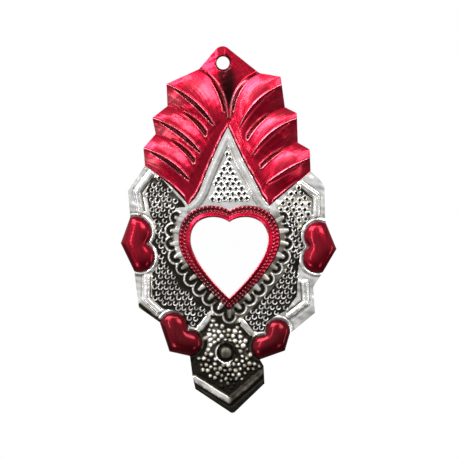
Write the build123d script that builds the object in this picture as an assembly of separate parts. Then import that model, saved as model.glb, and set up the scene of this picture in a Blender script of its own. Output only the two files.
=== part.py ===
from build123d import *
import math
import os

# A flat tin ornament, cut, pleated and pressed from one sheet, with a small mirror held behind its heart window.
# All sizes are in millimetres. The sheet is made lying on its back: x across, y up the ornament, z out of its face.
# Zero is the middle of the hanging hole on the sheet's face, and the finished pieces are stood up at the end.

SHEET = 0.3  # thickness of the tinplate
HOLE_D = 4.5  # hanging hole
CROWN_TOP = (-0.7, 7.0)  # where the two upper edges would meet
TOP_R = 3.1  # rounding of that point
TAIL_TIP_R = 1.4  # rounding of the lowest point
AXIS_X = 2.2  # middle line of the heart window, which stands a little right of the hole

# Crown: pleated leaves. Each rib runs from a point on the rim to its root beside the triangle, and bows upward.
# The ribs take turns as valleys and ridges, and the first and last are valleys in the plane of the sheet.
PLEAT_H = 2.0  # height of a ridge at the rim
RIDGE_MID = 0.8  # share of that height half way along the ridge
LEFT_RIBS = (
    ((-8.3, -2.1), (0.9, -18.4), 0.12),
    ((-19.6, -7.3), (-2.4, -22.2), 0.09),
    ((-19.3, -14.9), (-4.9, -26.5), 0.11),
    ((-24.5, -19.1), (-7.0, -31.6), 0.09),
    ((-23.4, -24.6), (-8.9, -35.8), 0.10),
    ((-27.6, -29.5), (-11.0, -41.0), 0.09),
    ((-27.1, -35.7), (-12.1, -49.3), 0.04),
)
RIGHT_RIBS = (
    ((12.8, -3.5), (3.3, -18.4), 0.16),
    ((20.0, -4.8), (5.6, -22.6), 0.11),
    ((21.5, -15.3), (7.4, -28.0), 0.11),
    ((25.6, -17.4), (9.6, -32.6), 0.10),
    ((26.0, -27.6), (11.9, -37.4), 0.07),
    ((30.1, -30.0), (14.6, -42.2), 0.04),
    ((30.4, -37.6), (16.1, -49.6), 0.0),
)

# Outline below the crown, down each side from the crown's lower corner to the upper and lower edge hearts.
RIGHT_SHOULDER = ((33.7, -40.6), (35.2, -43.0), (35.4, -53.1))
RIGHT_WAIST = ((31.3, -77.7), (31.9, -86.7))
LEFT_SHOULDER = ((-33.0, -44.4),)
LEFT_WAIST = ((-30.2, -77.0), (-29.2, -84.9))
TAIL_RIGHT = ((14.1, -105.1), (14.4, -111.2))
TAIL_LOW = -121.8  # where the two lower edges would meet
TAIL_TIP = (3.4, TAIL_LOW)
TAIL_LEFT = ((-9.6, -113.1), (-10.6, -108.5))

# Edge hearts: upper shoulder, point, lower shoulder, middle of the lower lobe, cleft, middle of the upper lobe.
HEART_UPPER_LEFT = ((-32.2, -53.4), (-35.5, -62.5), (-30.8, -72.3), (-23.6, -67.8), (-26.4, -62.6), (-25.5, -55.9))
HEART_UPPER_RIGHT = ((35.7, -55.5), (39.4, -64.5), (34.7, -72.5), (27.6, -68.0), (29.7, -63.8), (28.8, -57.3))
HEART_LOWER_LEFT = ((-22.0, -89.9), (-18.6, -100.1), (-11.5, -101.7), (-7.3, -97.9), (-12.3, -92.6), (-16.7, -86.4))
HEART_LOWER_RIGHT = ((23.2, -93.9), (21.5, -99.8), (12.8, -102.9), (9.8, -98.2), (14.9, -94.2), (19.1, -88.7))
DOME_H = 2.6  # height of a puffed edge heart
DOME_STEPS = ((1.0, 0.0), (0.89, 0.46), (0.68, 0.84), (0.38, 1.0))  # share of the outline and of the height
HOLLOW_STEPS = DOME_STEPS[::2] + DOME_STEPS[-1:]
DOME_WALL = 0.9  # the hollow behind a dome, as a share of the dome

# Heart window and the rope frame pressed round it.
WINDOW_HALF = 13.4
WINDOW_CUSP = -55.3
WINDOW_WAIST = -61.4  # height of the widest place
WINDOW_TIP = -81.4
LOBE_RISE = 3.0
FRAME_W = 4.3
FRAME_H = 1.6  # its lip, close to the window
LIP_W = 1.0  # from the window to the top of the lip
LIP_FLAT = 0.2
ROPE_IN = 2.2  # the rope lies between these, out from the window, lower than the lip
ROPE_OUT = 3.8
ROPE_H = 0.85
ROPE_TILT = 0.15  # it rises this much towards the lip

# Slanted ribs of the rope.
ROPE_RIBS_A_SIDE = 40
ROPE_RIB_L = 1.2
ROPE_RIB_W = 0.6
ROPE_RIB_TOP_W = 0.2
ROPE_RIB_H = 0.45
ROPE_SLANT = 35  # degrees from straight across

# Scallops: half-round grooves punched round the frame, open towards it, nine to a side and one below the point.
SCALLOPS_A_SIDE = 9
SCALLOP_R = 1.6
SCALLOP_W = 1.0
SCALLOP_FLAT = 0.2  # width of the bottom
SCALLOP_D = 0.45
SCALLOP_STEPS = 6  # chisel blows to a scallop
SCALLOP_ARC = 200  # degrees
SCALLOP_OUT = 2.3  # their centre line, out from the frame
SCALLOP_FIRST = -53.8  # height of the highest pair

# Pressed border ridges.
RIDGE_W = 1.6
RIDGE_TOP_W = 0.5
RIDGE_H = 0.6
RIDGE_LINES = (
    ((-8.4, -47.6), (1.6, -26.6), (12.6, -47.6)),
    ((-25.0, -38.2), (-29.8, -44.8), (-28.6, -51.8)),
    ((-26.6, -74.4), (-26.6, -81.9), (-22.2, -86.0)),
    ((27.0, -42.2), (32.4, -46.1), (32.4, -52.8)),
    ((28.4, -76.2), (28.8, -83.3), (23.0, -87.8)),
    ((-4.2, -88.4), (-7.6, -92.0)),
    ((7.0, -89.8), (10.4, -93.8)),
    ((-9.0, -109.6), (2.4, -116.9), (13.0, -107.8)),
)

# Boss in the middle of the tail.
BOSS_AT = (1.0, -100.6)
BOSS_R = 2.7
BOSS_H = 1.2
BOSS_SIDES = 12

# Mirror, card and the bent tabs behind the window. The glass is cut with straight sides and laps the window's edge.
GLASS = 2.0
CARD = 0.8
CARD_IN = 0.4  # the card is cut a little smaller than the glass
GLASS_LAP_TOP = 3.4  # above the cusp
GLASS_LAP_SIDE = 2.8
GLASS_LAP_FOOT = 1.8
GLASS_TOP_HALF = 8.8
GLASS_FOOT_HALF = 1.6
GLASS_SIDE_UP = 2.9  # the upright sides reach this far above the widest place
GLASS_SIDE_DOWN = 4.6
TAB_W = 4.0
TAB_GAP = 0.1  # between the glass edge and a tab
TAB_FOOT = 5.6
TAB_LIP = 2.6
TAB_BEND = 0.35
SOLDER_R = 1.7
SOLDER_TOP_R = 1.0
SOLDER_H = 1.3
SOLDER_SIDES = 10
SOLDER_IN = 0.9  # from the end of a tab's foot to the middle of its tack

STAND = Rot(90, 0, 0)
BACK = -SHEET
SEAT = BACK - SCALLOP_D  # the tabs' feet lie on the backs of the scallops
PATH_STEPS = 800  # places along half a heart line


def point(place, height=0.0):
    return Vector(place[0], place[1], height)


def polygon(places, height=0.0):
    return Wire.make_polygon([point(place, height) for place in places], close=True)


def rib_edge(rib, side, height):
    rim, root, bow = rib
    across = point(root) - point(rim)
    lift = Vector(-across.Y, across.X) * (side * bow)
    middle = (point(rim) + point(root)) * 0.5 + lift + Vector(0, 0, height * RIDGE_MID)
    first, last = point(rim, height), point(root)
    pull = middle * 2 - (first + last) * 0.5
    return Edge.make_bezier(first, pull, last)


def rib_edges(ribs, side):
    return [rib_edge(rib, side, PLEAT_H * (i % 2)) for i, rib in enumerate(ribs)]


def pleat_plan(ribs, side):
    rim = [Edge.make_line(point(a[0]), point(b[0])) for a, b in zip(ribs, ribs[1:])]
    root = [Edge.make_line(point(a[1]), point(b[1])) for a, b in zip(ribs, ribs[1:])]
    ends = [rib_edge(ribs[0], side, 0.0), rib_edge(ribs[-1], side, 0.0)]
    return Face(Wire(rim + root + ends))


def pleats(ribs, side):
    edges = rib_edges(ribs, side)
    leaves = [Face.make_surface_from_curves(a, b) for a, b in zip(edges, edges[1:])]
    return [Solid.extrude(leaf, Vector(0, 0, BACK)) for leaf in leaves]


def outline():
    right_rim = [rib[0] for rib in RIGHT_RIBS]
    left_rim = [rib[0] for rib in reversed(LEFT_RIBS)]
    right = [*right_rim, *RIGHT_SHOULDER, *HEART_UPPER_RIGHT[:3], *RIGHT_WAIST, *HEART_LOWER_RIGHT[:3], *TAIL_RIGHT]
    left = [*TAIL_LEFT, *reversed(HEART_LOWER_LEFT[:3]), *reversed(LEFT_WAIST)]
    left += [*reversed(HEART_UPPER_LEFT[:3]), *LEFT_SHOULDER, *left_rim]
    face = Face(polygon([CROWN_TOP, *right, TAIL_TIP, *left]))
    face = face.fillet_2d(TAIL_TIP_R, [face.vertices().sort_by(Axis.Y)[0]])
    return face.fillet_2d(TOP_R, [face.vertices().sort_by(Axis.Y)[-1]])


def window_wire(grow, height):
    """The heart window's edge, grown all round, at a height."""
    half = WINDOW_HALF + grow
    cusp, tip = WINDOW_CUSP + grow, WINDOW_TIP - grow
    drop = WINDOW_WAIST - tip

    def side(sign):
        def at(x, y):
            return Vector(AXIS_X + sign * x, y, height)

        lobe = (at(0, cusp), at(0.26 * half, cusp + LOBE_RISE), at(half, cusp + LOBE_RISE), at(half, WINDOW_WAIST))
        flank = (lobe[-1], at(half, WINDOW_WAIST - 0.31 * drop), at(0.4 * half, tip + 0.25 * drop), at(0, tip))
        return [Edge.make_bezier(*lobe), Edge.make_bezier(*flank)]

    return Wire(side(1) + side(-1))


def frame_form(inset, drop):
    """The rope frame's solid form, or the hollow behind it when inset and lowered."""
    outer = ((FRAME_W, 0.0), (ROPE_OUT, ROPE_H), (ROPE_IN, ROPE_H + ROPE_TILT), (LIP_W, FRAME_H))
    inner = ((0.0, 0.0), ((LIP_W - LIP_FLAT) / 2, FRAME_H * 0.75), (LIP_W - LIP_FLAT, FRAME_H))
    mound = Solid.make_loft([window_wire(x - inset, z - drop) for x, z in outer], True)
    bowl = Solid.make_loft([window_wire(x + inset, z - drop) for x, z in inner], True)
    return mound - bowl


def heart_wire(places, share, height):
    upper, tip, lower, lower_lobe, cleft, upper_lobe = [point(place) for place in places]
    middle = cleft * 0.7 + tip * 0.3

    def at(place):
        return middle + (place - middle) * share + Vector(0, 0, height)

    sides = [Edge.make_line(at(upper), at(tip)), Edge.make_line(at(tip), at(lower))]
    lobes = [
        Edge.make_three_point_arc(at(lower), at(lower_lobe), at(cleft)),
        Edge.make_three_point_arc(at(cleft), at(upper_lobe), at(upper)),
    ]
    return Wire(sides + lobes)


def dome_form(places, steps, share, drop):
    return Solid.make_loft([heart_wire(places, share * s, DOME_H * h - drop) for s, h in steps], True)


def strip_wire(line, half, ends, height):
    """A band of the given half width along a bent line, with mitred bends."""
    left, right = [], []
    line = [point(place) for place in line]
    for i, here in enumerate(line):
        steps = [(b - a).normalized() for a, b in zip(line, line[1:])]
        before, after = steps[max(i - 1, 0)], steps[min(i, len(steps) - 1)]
        normal = Vector(-before.Y - after.Y, before.X + after.X).normalized()
        reach = half / normal.dot(Vector(-after.Y, after.X))
        along = after * -ends if i == 0 else before * ends if i == len(line) - 1 else Vector()
        left.append(here + normal * reach + along)
        right.append(here - normal * reach + along)
    return polygon([(p.X, p.Y) for p in left + right[::-1]], height)


def ridge_form(line, inset, drop):
    base = strip_wire(line, RIDGE_W / 2 - inset, RIDGE_W / 2 - inset, -drop)
    top = strip_wire(line, RIDGE_TOP_W / 2 - inset / 2, RIDGE_TOP_W / 2 - inset / 2, RIDGE_H - drop)
    return Solid.make_loft([base, top], True)


def mound_form(steps, sides):
    """A low mound hammered with flat sides, from its (radius, height) steps, about the z axis."""
    return Solid.make_loft([Pos(0, 0, z) * RegularPolygon(r, sides).wire() for r, z in steps], True)


def boss_form(drop):
    steps = ((BOSS_R, 0.0), (BOSS_R * 0.82, BOSS_H * 0.6), (BOSS_R * 0.4, BOSS_H))
    return Pos(BOSS_AT[0], BOSS_AT[1], -drop) * mound_form(steps, BOSS_SIDES)


def heart_path(grow):
    """The right and left halves of the window's edge, grown, as (place, outward direction) from top to tip."""
    halves = []
    edges = window_wire(grow, 0.0).edges()
    middle = Vector(AXIS_X, WINDOW_WAIST)
    for side in (1, -1):
        half = Wire([e for e in edges if side * (e.center().X - AXIS_X) > 0])
        steps = [i / PATH_STEPS for i in range(PATH_STEPS + 1)]
        if half.position_at(0).Y < half.position_at(1).Y:
            steps.reverse()
        path = []
        for step in steps:
            place, along = half.position_at(step), half.tangent_at(step)
            normal = Vector(-along.Y, along.X)
            path.append((place, normal if normal.dot(place - middle) > 0 else normal * -1))
        halves.append(path)
    return halves


def scallop_places():
    """Scallop centres and the way each one faces, evenly spaced along a heart line round the frame."""
    out = FRAME_W + SCALLOP_OUT
    places = [(Vector(AXIS_X, WINDOW_TIP - out), Vector(0, -1))]
    for path in heart_path(out):
        first = max(i for i, (place, _) in enumerate(path) if place.Y > SCALLOP_FIRST)
        span = PATH_STEPS - first
        places += [path[first + round(span * i / SCALLOPS_A_SIDE)] for i in range(SCALLOPS_A_SIDE)]
    return places


def scallop_form(place, outward, drop):
    turns = [SCALLOP_ARC * (i / SCALLOP_STEPS - 0.5) for i in range(SCALLOP_STEPS + 1)]
    spokes = [place + outward.rotate(Axis.Z, turn) * SCALLOP_R for turn in turns]
    line = [(spoke.X, spoke.Y) for spoke in spokes]
    mouth = strip_wire(line, SCALLOP_W / 2, 0, -drop)
    bottom = strip_wire(line, SCALLOP_FLAT / 2, (SCALLOP_FLAT - SCALLOP_W) / 2, -SCALLOP_D - drop)
    return Solid.make_loft([mouth, bottom], True)


def rope_ribs():
    """Slanted ribs along the middle of the rope, turning the same way all round the heart."""
    ribs = []
    foot = ROPE_H - SHEET / 2
    for side, path in zip((1, -1), heart_path((ROPE_IN + ROPE_OUT) / 2)):
        for i in range(ROPE_RIBS_A_SIDE):
            place, outward = path[round(PATH_STEPS * (i + 0.5) / ROPE_RIBS_A_SIDE)]
            reach = outward.rotate(Axis.Z, side * ROPE_SLANT) * (ROPE_RIB_L / 2)
            line = [(p.X, p.Y) for p in (place - reach, place + reach)]
            base = strip_wire(line, ROPE_RIB_W / 2, 0, foot)
            top = strip_wire(line, ROPE_RIB_TOP_W / 2, -ROPE_RIB_TOP_W, ROPE_H + ROPE_RIB_H)
            ribs.append(Solid.make_loft([base, top], True))
    return ribs


def embossed_sheet():
    face = outline() - Face(window_wire(0.0, 0.0)) - Face(Wire.make_circle(HOLE_D / 2))
    face = face - pleat_plan(LEFT_RIBS, 1) - pleat_plan(RIGHT_RIBS, -1)
    plate = Solid.extrude(face, Vector(0, 0, BACK))
    leaves = pleats(LEFT_RIBS, 1) + pleats(RIGHT_RIBS, -1)
    hearts = (HEART_UPPER_LEFT, HEART_UPPER_RIGHT, HEART_LOWER_LEFT, HEART_LOWER_RIGHT)
    scallops = scallop_places()
    forms = [frame_form(0.0, 0.0), boss_form(0.0)]
    forms += [dome_form(heart, DOME_STEPS, 1.0, 0.0) for heart in hearts]
    forms += [ridge_form(line, 0.0, 0.0) for line in RIDGE_LINES]
    forms += [scallop_form(*scallop, SHEET) for scallop in scallops]
    hollows = [frame_form(SHEET, SHEET), boss_form(SHEET)]
    hollows += [dome_form(heart, HOLLOW_STEPS, DOME_WALL, SHEET) for heart in hearts]
    hollows += [ridge_form(line, SHEET, SHEET) for line in RIDGE_LINES]
    hollows += [scallop_form(*scallop, 0.0) for scallop in scallops]
    return plate.fuse(*leaves, *forms).cut(*hollows).fuse(*rope_ribs())


def glass_places(inset):
    right = (
        (GLASS_TOP_HALF, WINDOW_CUSP + GLASS_LAP_TOP - inset),
        (WINDOW_HALF + GLASS_LAP_SIDE - inset, WINDOW_WAIST + GLASS_SIDE_UP),
        (WINDOW_HALF + GLASS_LAP_SIDE - inset, WINDOW_WAIST - GLASS_SIDE_DOWN),
        (GLASS_FOOT_HALF, WINDOW_TIP - GLASS_LAP_FOOT + inset),
    )
    left = [(-x, y) for x, y in reversed(right)]
    return [(AXIS_X + x, y) for x, y in (*right, *left)]


def mirror_glass():
    return Solid.extrude(Face(polygon(glass_places(0.0), BACK)), Vector(0, 0, -GLASS))


def backing_card():
    return Solid.extrude(Face(polygon(glass_places(CARD_IN), BACK - GLASS)), Vector(0, 0, -CARD))


def tab_frame(corner):
    """A place on one slanted glass edge: x out from the edge, y along it, z out of the sheet's face."""
    places = glass_places(0.0)
    a, b = point(places[corner]), point(places[(corner + 1) % len(places)])
    along = (b - a).normalized()
    outward = Vector(-along.Y, along.X)
    return Plane((a + b) * 0.5, x_dir=outward, z_dir=(0, 0, 1)).location


def tab_form():
    """A strip soldered down by its foot, bent up beside the glass and folded over the card."""
    low = BACK - GLASS - CARD
    inner, outer = TAB_GAP, TAB_GAP + SHEET
    outer_bends = ((inner, SEAT), (outer, low - SHEET))
    path = (
        (-TAB_LIP, low),
        (inner, low),
        outer_bends[0],
        (inner + TAB_FOOT, SEAT),
        (inner + TAB_FOOT, SEAT - SHEET),
        (outer, SEAT - SHEET),
        outer_bends[1],
        (-TAB_LIP, low - SHEET),
    )
    face = Face(Wire.make_polygon([Vector(x, 0, z) for x, z in path], close=True))
    bends = [min(face.vertices(), key=lambda v: math.hypot(v.X - x, v.Z - z)) for x, z in outer_bends]
    strip = face.fillet_2d(TAB_BEND, bends)
    return Pos(0, -TAB_W / 2, 0) * Solid.extrude(strip, Vector(0, TAB_W, 0))


def solder_form():
    mound = mound_form(((SOLDER_R, 0.0), (SOLDER_TOP_R, -SOLDER_H)), SOLDER_SIDES)
    return Pos(TAB_GAP + TAB_FOOT - SOLDER_IN, 0, BACK) * mound


def pieces():
    corners = {"tab_upper_right": 0, "tab_lower_right": 2, "tab_lower_left": 4, "tab_upper_left": 6}
    seats = {name: tab_frame(corner) for name, corner in corners.items()}
    sheet, tab, solder = embossed_sheet(), tab_form(), solder_form() - tab_form()
    made = {"embossed_sheet": sheet, "mirror_glass": mirror_glass(), "backing_card": backing_card()}
    made.update({name: seat * tab for name, seat in seats.items()})
    tacks = [(seat * solder - sheet).solids() for seat in seats.values()]
    made["solder_tacks"] = Compound([max(solids, key=lambda solid: solid.volume) for solids in tacks])
    return made


os.makedirs("parts", exist_ok=True)
for name, shape in pieces().items():
    export_step(STAND * shape, f"parts/{name}.step")
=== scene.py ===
import math

import bpy
import numpy as np
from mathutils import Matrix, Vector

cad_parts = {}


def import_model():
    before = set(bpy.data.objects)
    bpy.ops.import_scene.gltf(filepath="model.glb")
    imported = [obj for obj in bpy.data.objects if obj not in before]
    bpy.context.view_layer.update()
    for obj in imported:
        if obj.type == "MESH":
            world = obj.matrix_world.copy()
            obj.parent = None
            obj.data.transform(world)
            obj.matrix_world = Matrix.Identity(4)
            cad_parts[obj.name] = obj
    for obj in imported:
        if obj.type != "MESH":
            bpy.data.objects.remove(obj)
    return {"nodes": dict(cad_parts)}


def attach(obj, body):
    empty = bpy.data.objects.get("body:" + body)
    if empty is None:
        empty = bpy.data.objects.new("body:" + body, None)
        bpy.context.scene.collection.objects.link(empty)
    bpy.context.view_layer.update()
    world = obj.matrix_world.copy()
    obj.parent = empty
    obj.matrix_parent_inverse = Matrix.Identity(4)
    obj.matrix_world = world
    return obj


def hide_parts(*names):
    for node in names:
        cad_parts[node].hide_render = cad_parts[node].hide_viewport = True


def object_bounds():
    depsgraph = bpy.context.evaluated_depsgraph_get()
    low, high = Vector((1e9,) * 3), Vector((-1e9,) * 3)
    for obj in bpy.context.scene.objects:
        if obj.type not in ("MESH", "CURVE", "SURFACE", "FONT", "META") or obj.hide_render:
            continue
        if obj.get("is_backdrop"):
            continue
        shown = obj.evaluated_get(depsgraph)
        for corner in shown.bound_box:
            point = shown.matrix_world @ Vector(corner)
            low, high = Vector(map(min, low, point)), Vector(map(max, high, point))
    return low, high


# A pressed, punched and lacquered tin ornament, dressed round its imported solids.
# Sizes are in millimetres and MM turns them into Blender's metres. The sheet is worked out flat, as on the
# bench: x across, y up the ornament, z out of its face, with zero at the middle of the hanging hole.
# A rounded ridge or dark band is held as (strength, place, width), a drawn line as (strength, place, outer
# half-width, inner half-width) and a span as (where it starts from nothing, where it is full).

MM = 0.001
SEED = 7
FAR = 1e9
TINY = 1e-6
SHEET = 0.3
SHARP_DEG = 48
HOLE_D = 4.5
CROWN_TOP = (-0.7, 7.0)
TOP_R = 3.1
TAIL_TIP_R = 1.4
AXIS_X = 2.2

# The photograph: its size in pixels, the ornament's height in it and on the sheet, and the hole's middle.
PHOTO_PX = 458
HEIGHT_PX = 366
HEIGHT = 127
HOLE_PX = (223, 63)
PX = HEIGHT / HEIGHT_PX

# Crown ribs: rim, root, bow. They take turns as valleys and ridges.
LEFT_RIBS = (
    ((-8.3, -2.1), (0.9, -18.4), 0.12),
    ((-19.6, -7.3), (-2.4, -22.2), 0.09),
    ((-19.3, -14.9), (-4.9, -26.5), 0.11),
    ((-24.5, -19.1), (-7.0, -31.6), 0.09),
    ((-23.4, -24.6), (-8.9, -35.8), 0.10),
    ((-27.6, -29.5), (-11.0, -41.0), 0.09),
    ((-27.1, -35.7), (-12.1, -49.3), 0.04),
)
RIGHT_RIBS = (
    ((12.8, -3.5), (3.3, -18.4), 0.16),
    ((20.0, -4.8), (5.6, -22.6), 0.11),
    ((21.5, -15.3), (7.4, -28.0), 0.11),
    ((25.6, -17.4), (9.6, -32.6), 0.10),
    ((26.0, -27.6), (11.9, -37.4), 0.07),
    ((30.1, -30.0), (14.6, -42.2), 0.04),
    ((30.4, -37.6), (16.1, -49.6), 0.0),
)
APEX = (1.7, -22.2)
TRIANGLE_LEFT = ((-1.0, -27.4), (-5.6, -37.8), (-8.0, -44.1), (-9.6, -46.9), (-11.5, -48.8))
TRIANGLE_RIGHT = ((6.9, -33.7), (10.4, -39.9), (13.5, -46.2), (15.5, -48.9))
TRIANGLE_FOOT = ((-12.1, -49.3), (-12.1, -52.5), (16.4, -52.5), (16.1, -49.6))

# Outline below the crown.
RIGHT_SHOULDER = ((33.7, -40.6), (35.2, -43.0), (35.4, -53.1))
RIGHT_WAIST = ((31.3, -77.7), (31.9, -86.7))
LEFT_SHOULDER = ((-33.0, -44.4),)
LEFT_WAIST = ((-30.2, -77.0), (-29.2, -84.9))
TAIL_RIGHT = ((14.1, -105.1), (14.4, -111.2))
TAIL_TIP = (3.4, -121.8)
TAIL_LEFT = ((-9.6, -113.1), (-10.6, -108.5))
TAIL_TOP = (
    (-10.4, -92.6), (-8.2, -92.4), (-4.2, -87.2), (2.2, -91.0), (6.4, -89.8), (10.4, -94.2), (13.4, -94.6),
)

# Corners outside the sheet that close the areas of the crown and the tail.
ABOVE_CROWN = ((6, 20), (-6, 20))
LEFT_OF_CROWN = ((-40, 3), (-40, -35.7))
RIGHT_OF_CROWN = ((44, 3), (44, -37.6))
ROUND_TAIL = ((30, -95), (30, -130), (-30, -130), (-30, -93))

# Edge hearts: upper shoulder, point, lower shoulder, lower lobe's middle, cleft, upper lobe's middle.
HEARTS = {
    "edge_heart_upper_left": (
        (-32.2, -53.4), (-35.5, -62.5), (-30.8, -72.3), (-23.6, -67.8), (-26.4, -62.6), (-25.5, -55.9),
    ),
    "edge_heart_upper_right": (
        (35.7, -55.5), (39.4, -64.5), (34.7, -72.5), (27.6, -68.0), (29.7, -63.8), (28.8, -57.3),
    ),
    "edge_heart_lower_left": (
        (-22.0, -89.9), (-18.6, -100.1), (-11.5, -101.7), (-7.3, -97.9), (-12.3, -92.6), (-16.7, -86.4),
    ),
    "edge_heart_lower_right": (
        (23.2, -93.9), (21.5, -99.8), (12.8, -102.9), (9.8, -98.2), (14.9, -94.2), (19.1, -88.7),
    ),
}

# Heart window; the pulls are shares of its half-width or of its drop from waist to tip.
WINDOW_HALF = 13.4
WINDOW_CUSP = -55.3
WINDOW_WAIST = -61.4
WINDOW_TIP = -81.4
LOBE_RISE = 3.0
LOBE_PULL = 0.26
FLANK_PULL = 0.31
TIP_PULL = (0.4, 0.25)
FRAME_W = 4.3

# Fineness of the drawn lines.
GRID = 0.2
STEP = 0.02
RIB_STEPS = 60
ROUND_STEPS = 24
HOLE_STEPS = 90
DENSE_STEPS = 4001
FRAME_EDGE_STEPS = 240
HEART_EDGE_STEPS = 30


def at_pixel(px, py):
    return (px - HOLE_PX[0]) * PX, (HOLE_PX[1] - py) * PX


def on_sheet(*pixels):
    return [at_pixel(px, py) for px, py in pixels]


# Where the fields are punched, by pixel of the photograph.
FIELD_LEFT = on_sheet(
    (160, 176), (152, 178), (146, 192), (150, 215), (156, 225), (155, 238), (151, 243), (156, 249),
    (159, 258), (157, 268), (152, 273), (152, 297), (163, 309), (172, 310), (182, 313), (188, 325),
    (196, 328), (210, 311), (198, 303), (190, 294), (182, 284), (175, 272), (169, 260), (166, 247),
    (166, 232), (171, 219), (176, 208), (186, 207), (183, 202), (172, 190),
)
FIELD_RIGHT = on_sheet(
    (298, 184), (311, 197), (310, 219), (303, 226), (301, 236), (305, 247), (300, 255), (299, 263),
    (298, 272), (297, 296), (286, 311), (277, 315), (267, 322), (264, 332), (253, 332), (243, 318),
    (252, 309), (262, 299), (271, 290), (279, 280), (287, 269), (291, 257), (292, 243), (290, 229),
    (285, 217), (276, 208), (284, 199),
)
FIELD_TAIL = on_sheet(
    (212, 314), (222, 324), (230, 327), (238, 324), (247, 338), (249, 350), (253, 358), (262, 363),
    (261, 367), (229, 393), (193, 367), (192, 359), (201, 353), (205, 343), (202, 334),
)
FIELD_TRIANGLE = on_sheet((227, 149), (251, 203), (207, 203))
BLACK_EDGE = on_sheet((140, 305), (160, 322))


def smooth(low, high, value):
    share = np.clip((value - low) / (high - low), 0.0, 1.0)
    return share * share * (3 - 2 * share)


def bump(distance, width):
    return np.exp(-((distance / width) ** 2))


def ridge(shape, distance):
    strength, place, width = shape
    return strength * bump(distance - place, width)


def line(shape, distance):
    strength, place, outer, inner = shape
    return strength * smooth(outer, inner, np.abs(distance - place))


def bezier(points, t):
    points = [np.asarray(p, float) for p in points]
    t = np.asarray(t, float)[..., None]
    while len(points) > 1:
        points = [a * (1 - t) + b * t for a, b in zip(points, points[1:])]
    return points[0]


def rib_curve(rib, side, t):
    rim, root = np.array(rib[0]), np.array(rib[1])
    across = root - rim
    middle = (rim + root) / 2 + np.array((-across[1], across[0])) * side * rib[2]
    return bezier((rim, middle * 2 - (rim + root) / 2, root), t)


def run_length(points):
    """Length of a line up to each of its points."""
    return np.concatenate(([0], np.cumsum(np.linalg.norm(np.diff(points, axis=0), axis=1))))


def along(points, count):
    """Places on an open line: a number of them, evenly spaced, or at the given shares of its length."""
    points = np.asarray(points, float)
    length = run_length(points)
    wanted = np.linspace(0, length[-1], count) if np.isscalar(count) else np.asarray(count) * length[-1]
    return np.stack([np.interp(wanted, length, points[:, i]) for i in (0, 1)], axis=-1)


def arc(a, b, c, count):
    """A round line from a through b to c."""
    (ax, ay), (bx, by), (cx, cy) = a, b, c
    d = 2 * (ax * (by - cy) + bx * (cy - ay) + cx * (ay - by))
    sa, sb, sc = ax * ax + ay * ay, bx * bx + by * by, cx * cx + cy * cy
    mx = (sa * (by - cy) + sb * (cy - ay) + sc * (ay - by)) / d
    my = (sa * (cx - bx) + sb * (ax - cx) + sc * (bx - ax)) / d
    first, mid, last = [math.atan2(y - my, x - mx) for x, y in (a, b, c)]
    turn = (last - first) % (2 * math.pi)
    if (mid - first) % (2 * math.pi) > turn:
        turn -= 2 * math.pi
    angles = first + turn * np.linspace(0, 1, count)
    radius = math.hypot(ax - mx, ay - my)
    return np.stack((mx + radius * np.cos(angles), my + radius * np.sin(angles)), axis=-1)


def window_half(side, grow, station):
    """Places on half of the window's grown edge; stations 0 to 1 are the lobe and 1 to 2 the flank."""
    half = WINDOW_HALF + grow
    cusp, tip = WINDOW_CUSP + grow, WINDOW_TIP - grow
    drop = WINDOW_WAIST - tip
    top = cusp + LOBE_RISE
    lobe = ((0, cusp), (LOBE_PULL * half, top), (half, top), (half, WINDOW_WAIST))
    low_pull = (TIP_PULL[0] * half, tip + TIP_PULL[1] * drop)
    flank = (lobe[-1], (half, WINDOW_WAIST - FLANK_PULL * drop), low_pull, (0, tip))
    upper = bezier(lobe, np.clip(station, 0, 1))
    lower = bezier(flank, np.clip(np.asarray(station) - 1, 0, 1))
    places = np.where((np.asarray(station) < 1)[..., None], upper, lower)
    return places * (side, 1) + (AXIS_X, 0)


def even_stations(grow, count):
    """Stations evenly spaced along half of the window's edge."""
    dense = np.linspace(0, 2, DENSE_STEPS)
    length = run_length(window_half(1, grow, dense))
    return np.interp(np.linspace(0, length[-1], count), length, dense)


def window_loop(grow, stations):
    """The window's grown edge, at the stations down its right side and back up its left."""
    return np.concatenate((window_half(1, grow, stations), window_half(-1, grow, stations)[-2:0:-1]))


def heart_loop(corners, count):
    upper, tip, lower, lower_lobe, cleft, upper_lobe = corners
    sides = [along((upper, tip), count), along((tip, lower), count)]
    lobes = [arc(lower, lower_lobe, cleft, 2 * count), arc(cleft, upper_lobe, upper, 2 * count)]
    return np.concatenate([edge[:-1] for edge in sides + lobes])


def rounded(before, corner, after, radius):
    """A corner with its round."""
    corner = np.array(corner)
    arms = [np.array(end) - corner for end in (before, after)]
    a, b = [arm / np.linalg.norm(arm) for arm in arms]
    half = math.acos(float(a @ b)) / 2
    reach = radius / math.tan(half)
    middle = (a + b) / np.linalg.norm(a + b)
    deep = corner + middle * (radius / math.sin(half) - radius)
    return arc(corner + a * reach, deep, corner + b * reach, ROUND_STEPS)


def outline_loop():
    upper_left, upper_right, lower_left, lower_right = [corners[:3] for corners in HEARTS.values()]
    right_rim = [rib[0] for rib in RIGHT_RIBS]
    left_rim = [rib[0] for rib in LEFT_RIBS[::-1]]
    right = [*right_rim, *RIGHT_SHOULDER, *upper_right, *RIGHT_WAIST, *lower_right, *TAIL_RIGHT]
    left = [*TAIL_LEFT, *lower_left[::-1], *LEFT_WAIST[::-1], *upper_left[::-1], *LEFT_SHOULDER, *left_rim]
    top = rounded(left_rim[-1], CROWN_TOP, right_rim[0], TOP_R)
    tip = rounded(TAIL_RIGHT[-1], TAIL_TIP, TAIL_LEFT[0], TAIL_TIP_R)
    return np.concatenate((right, tip, left, top))


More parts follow.
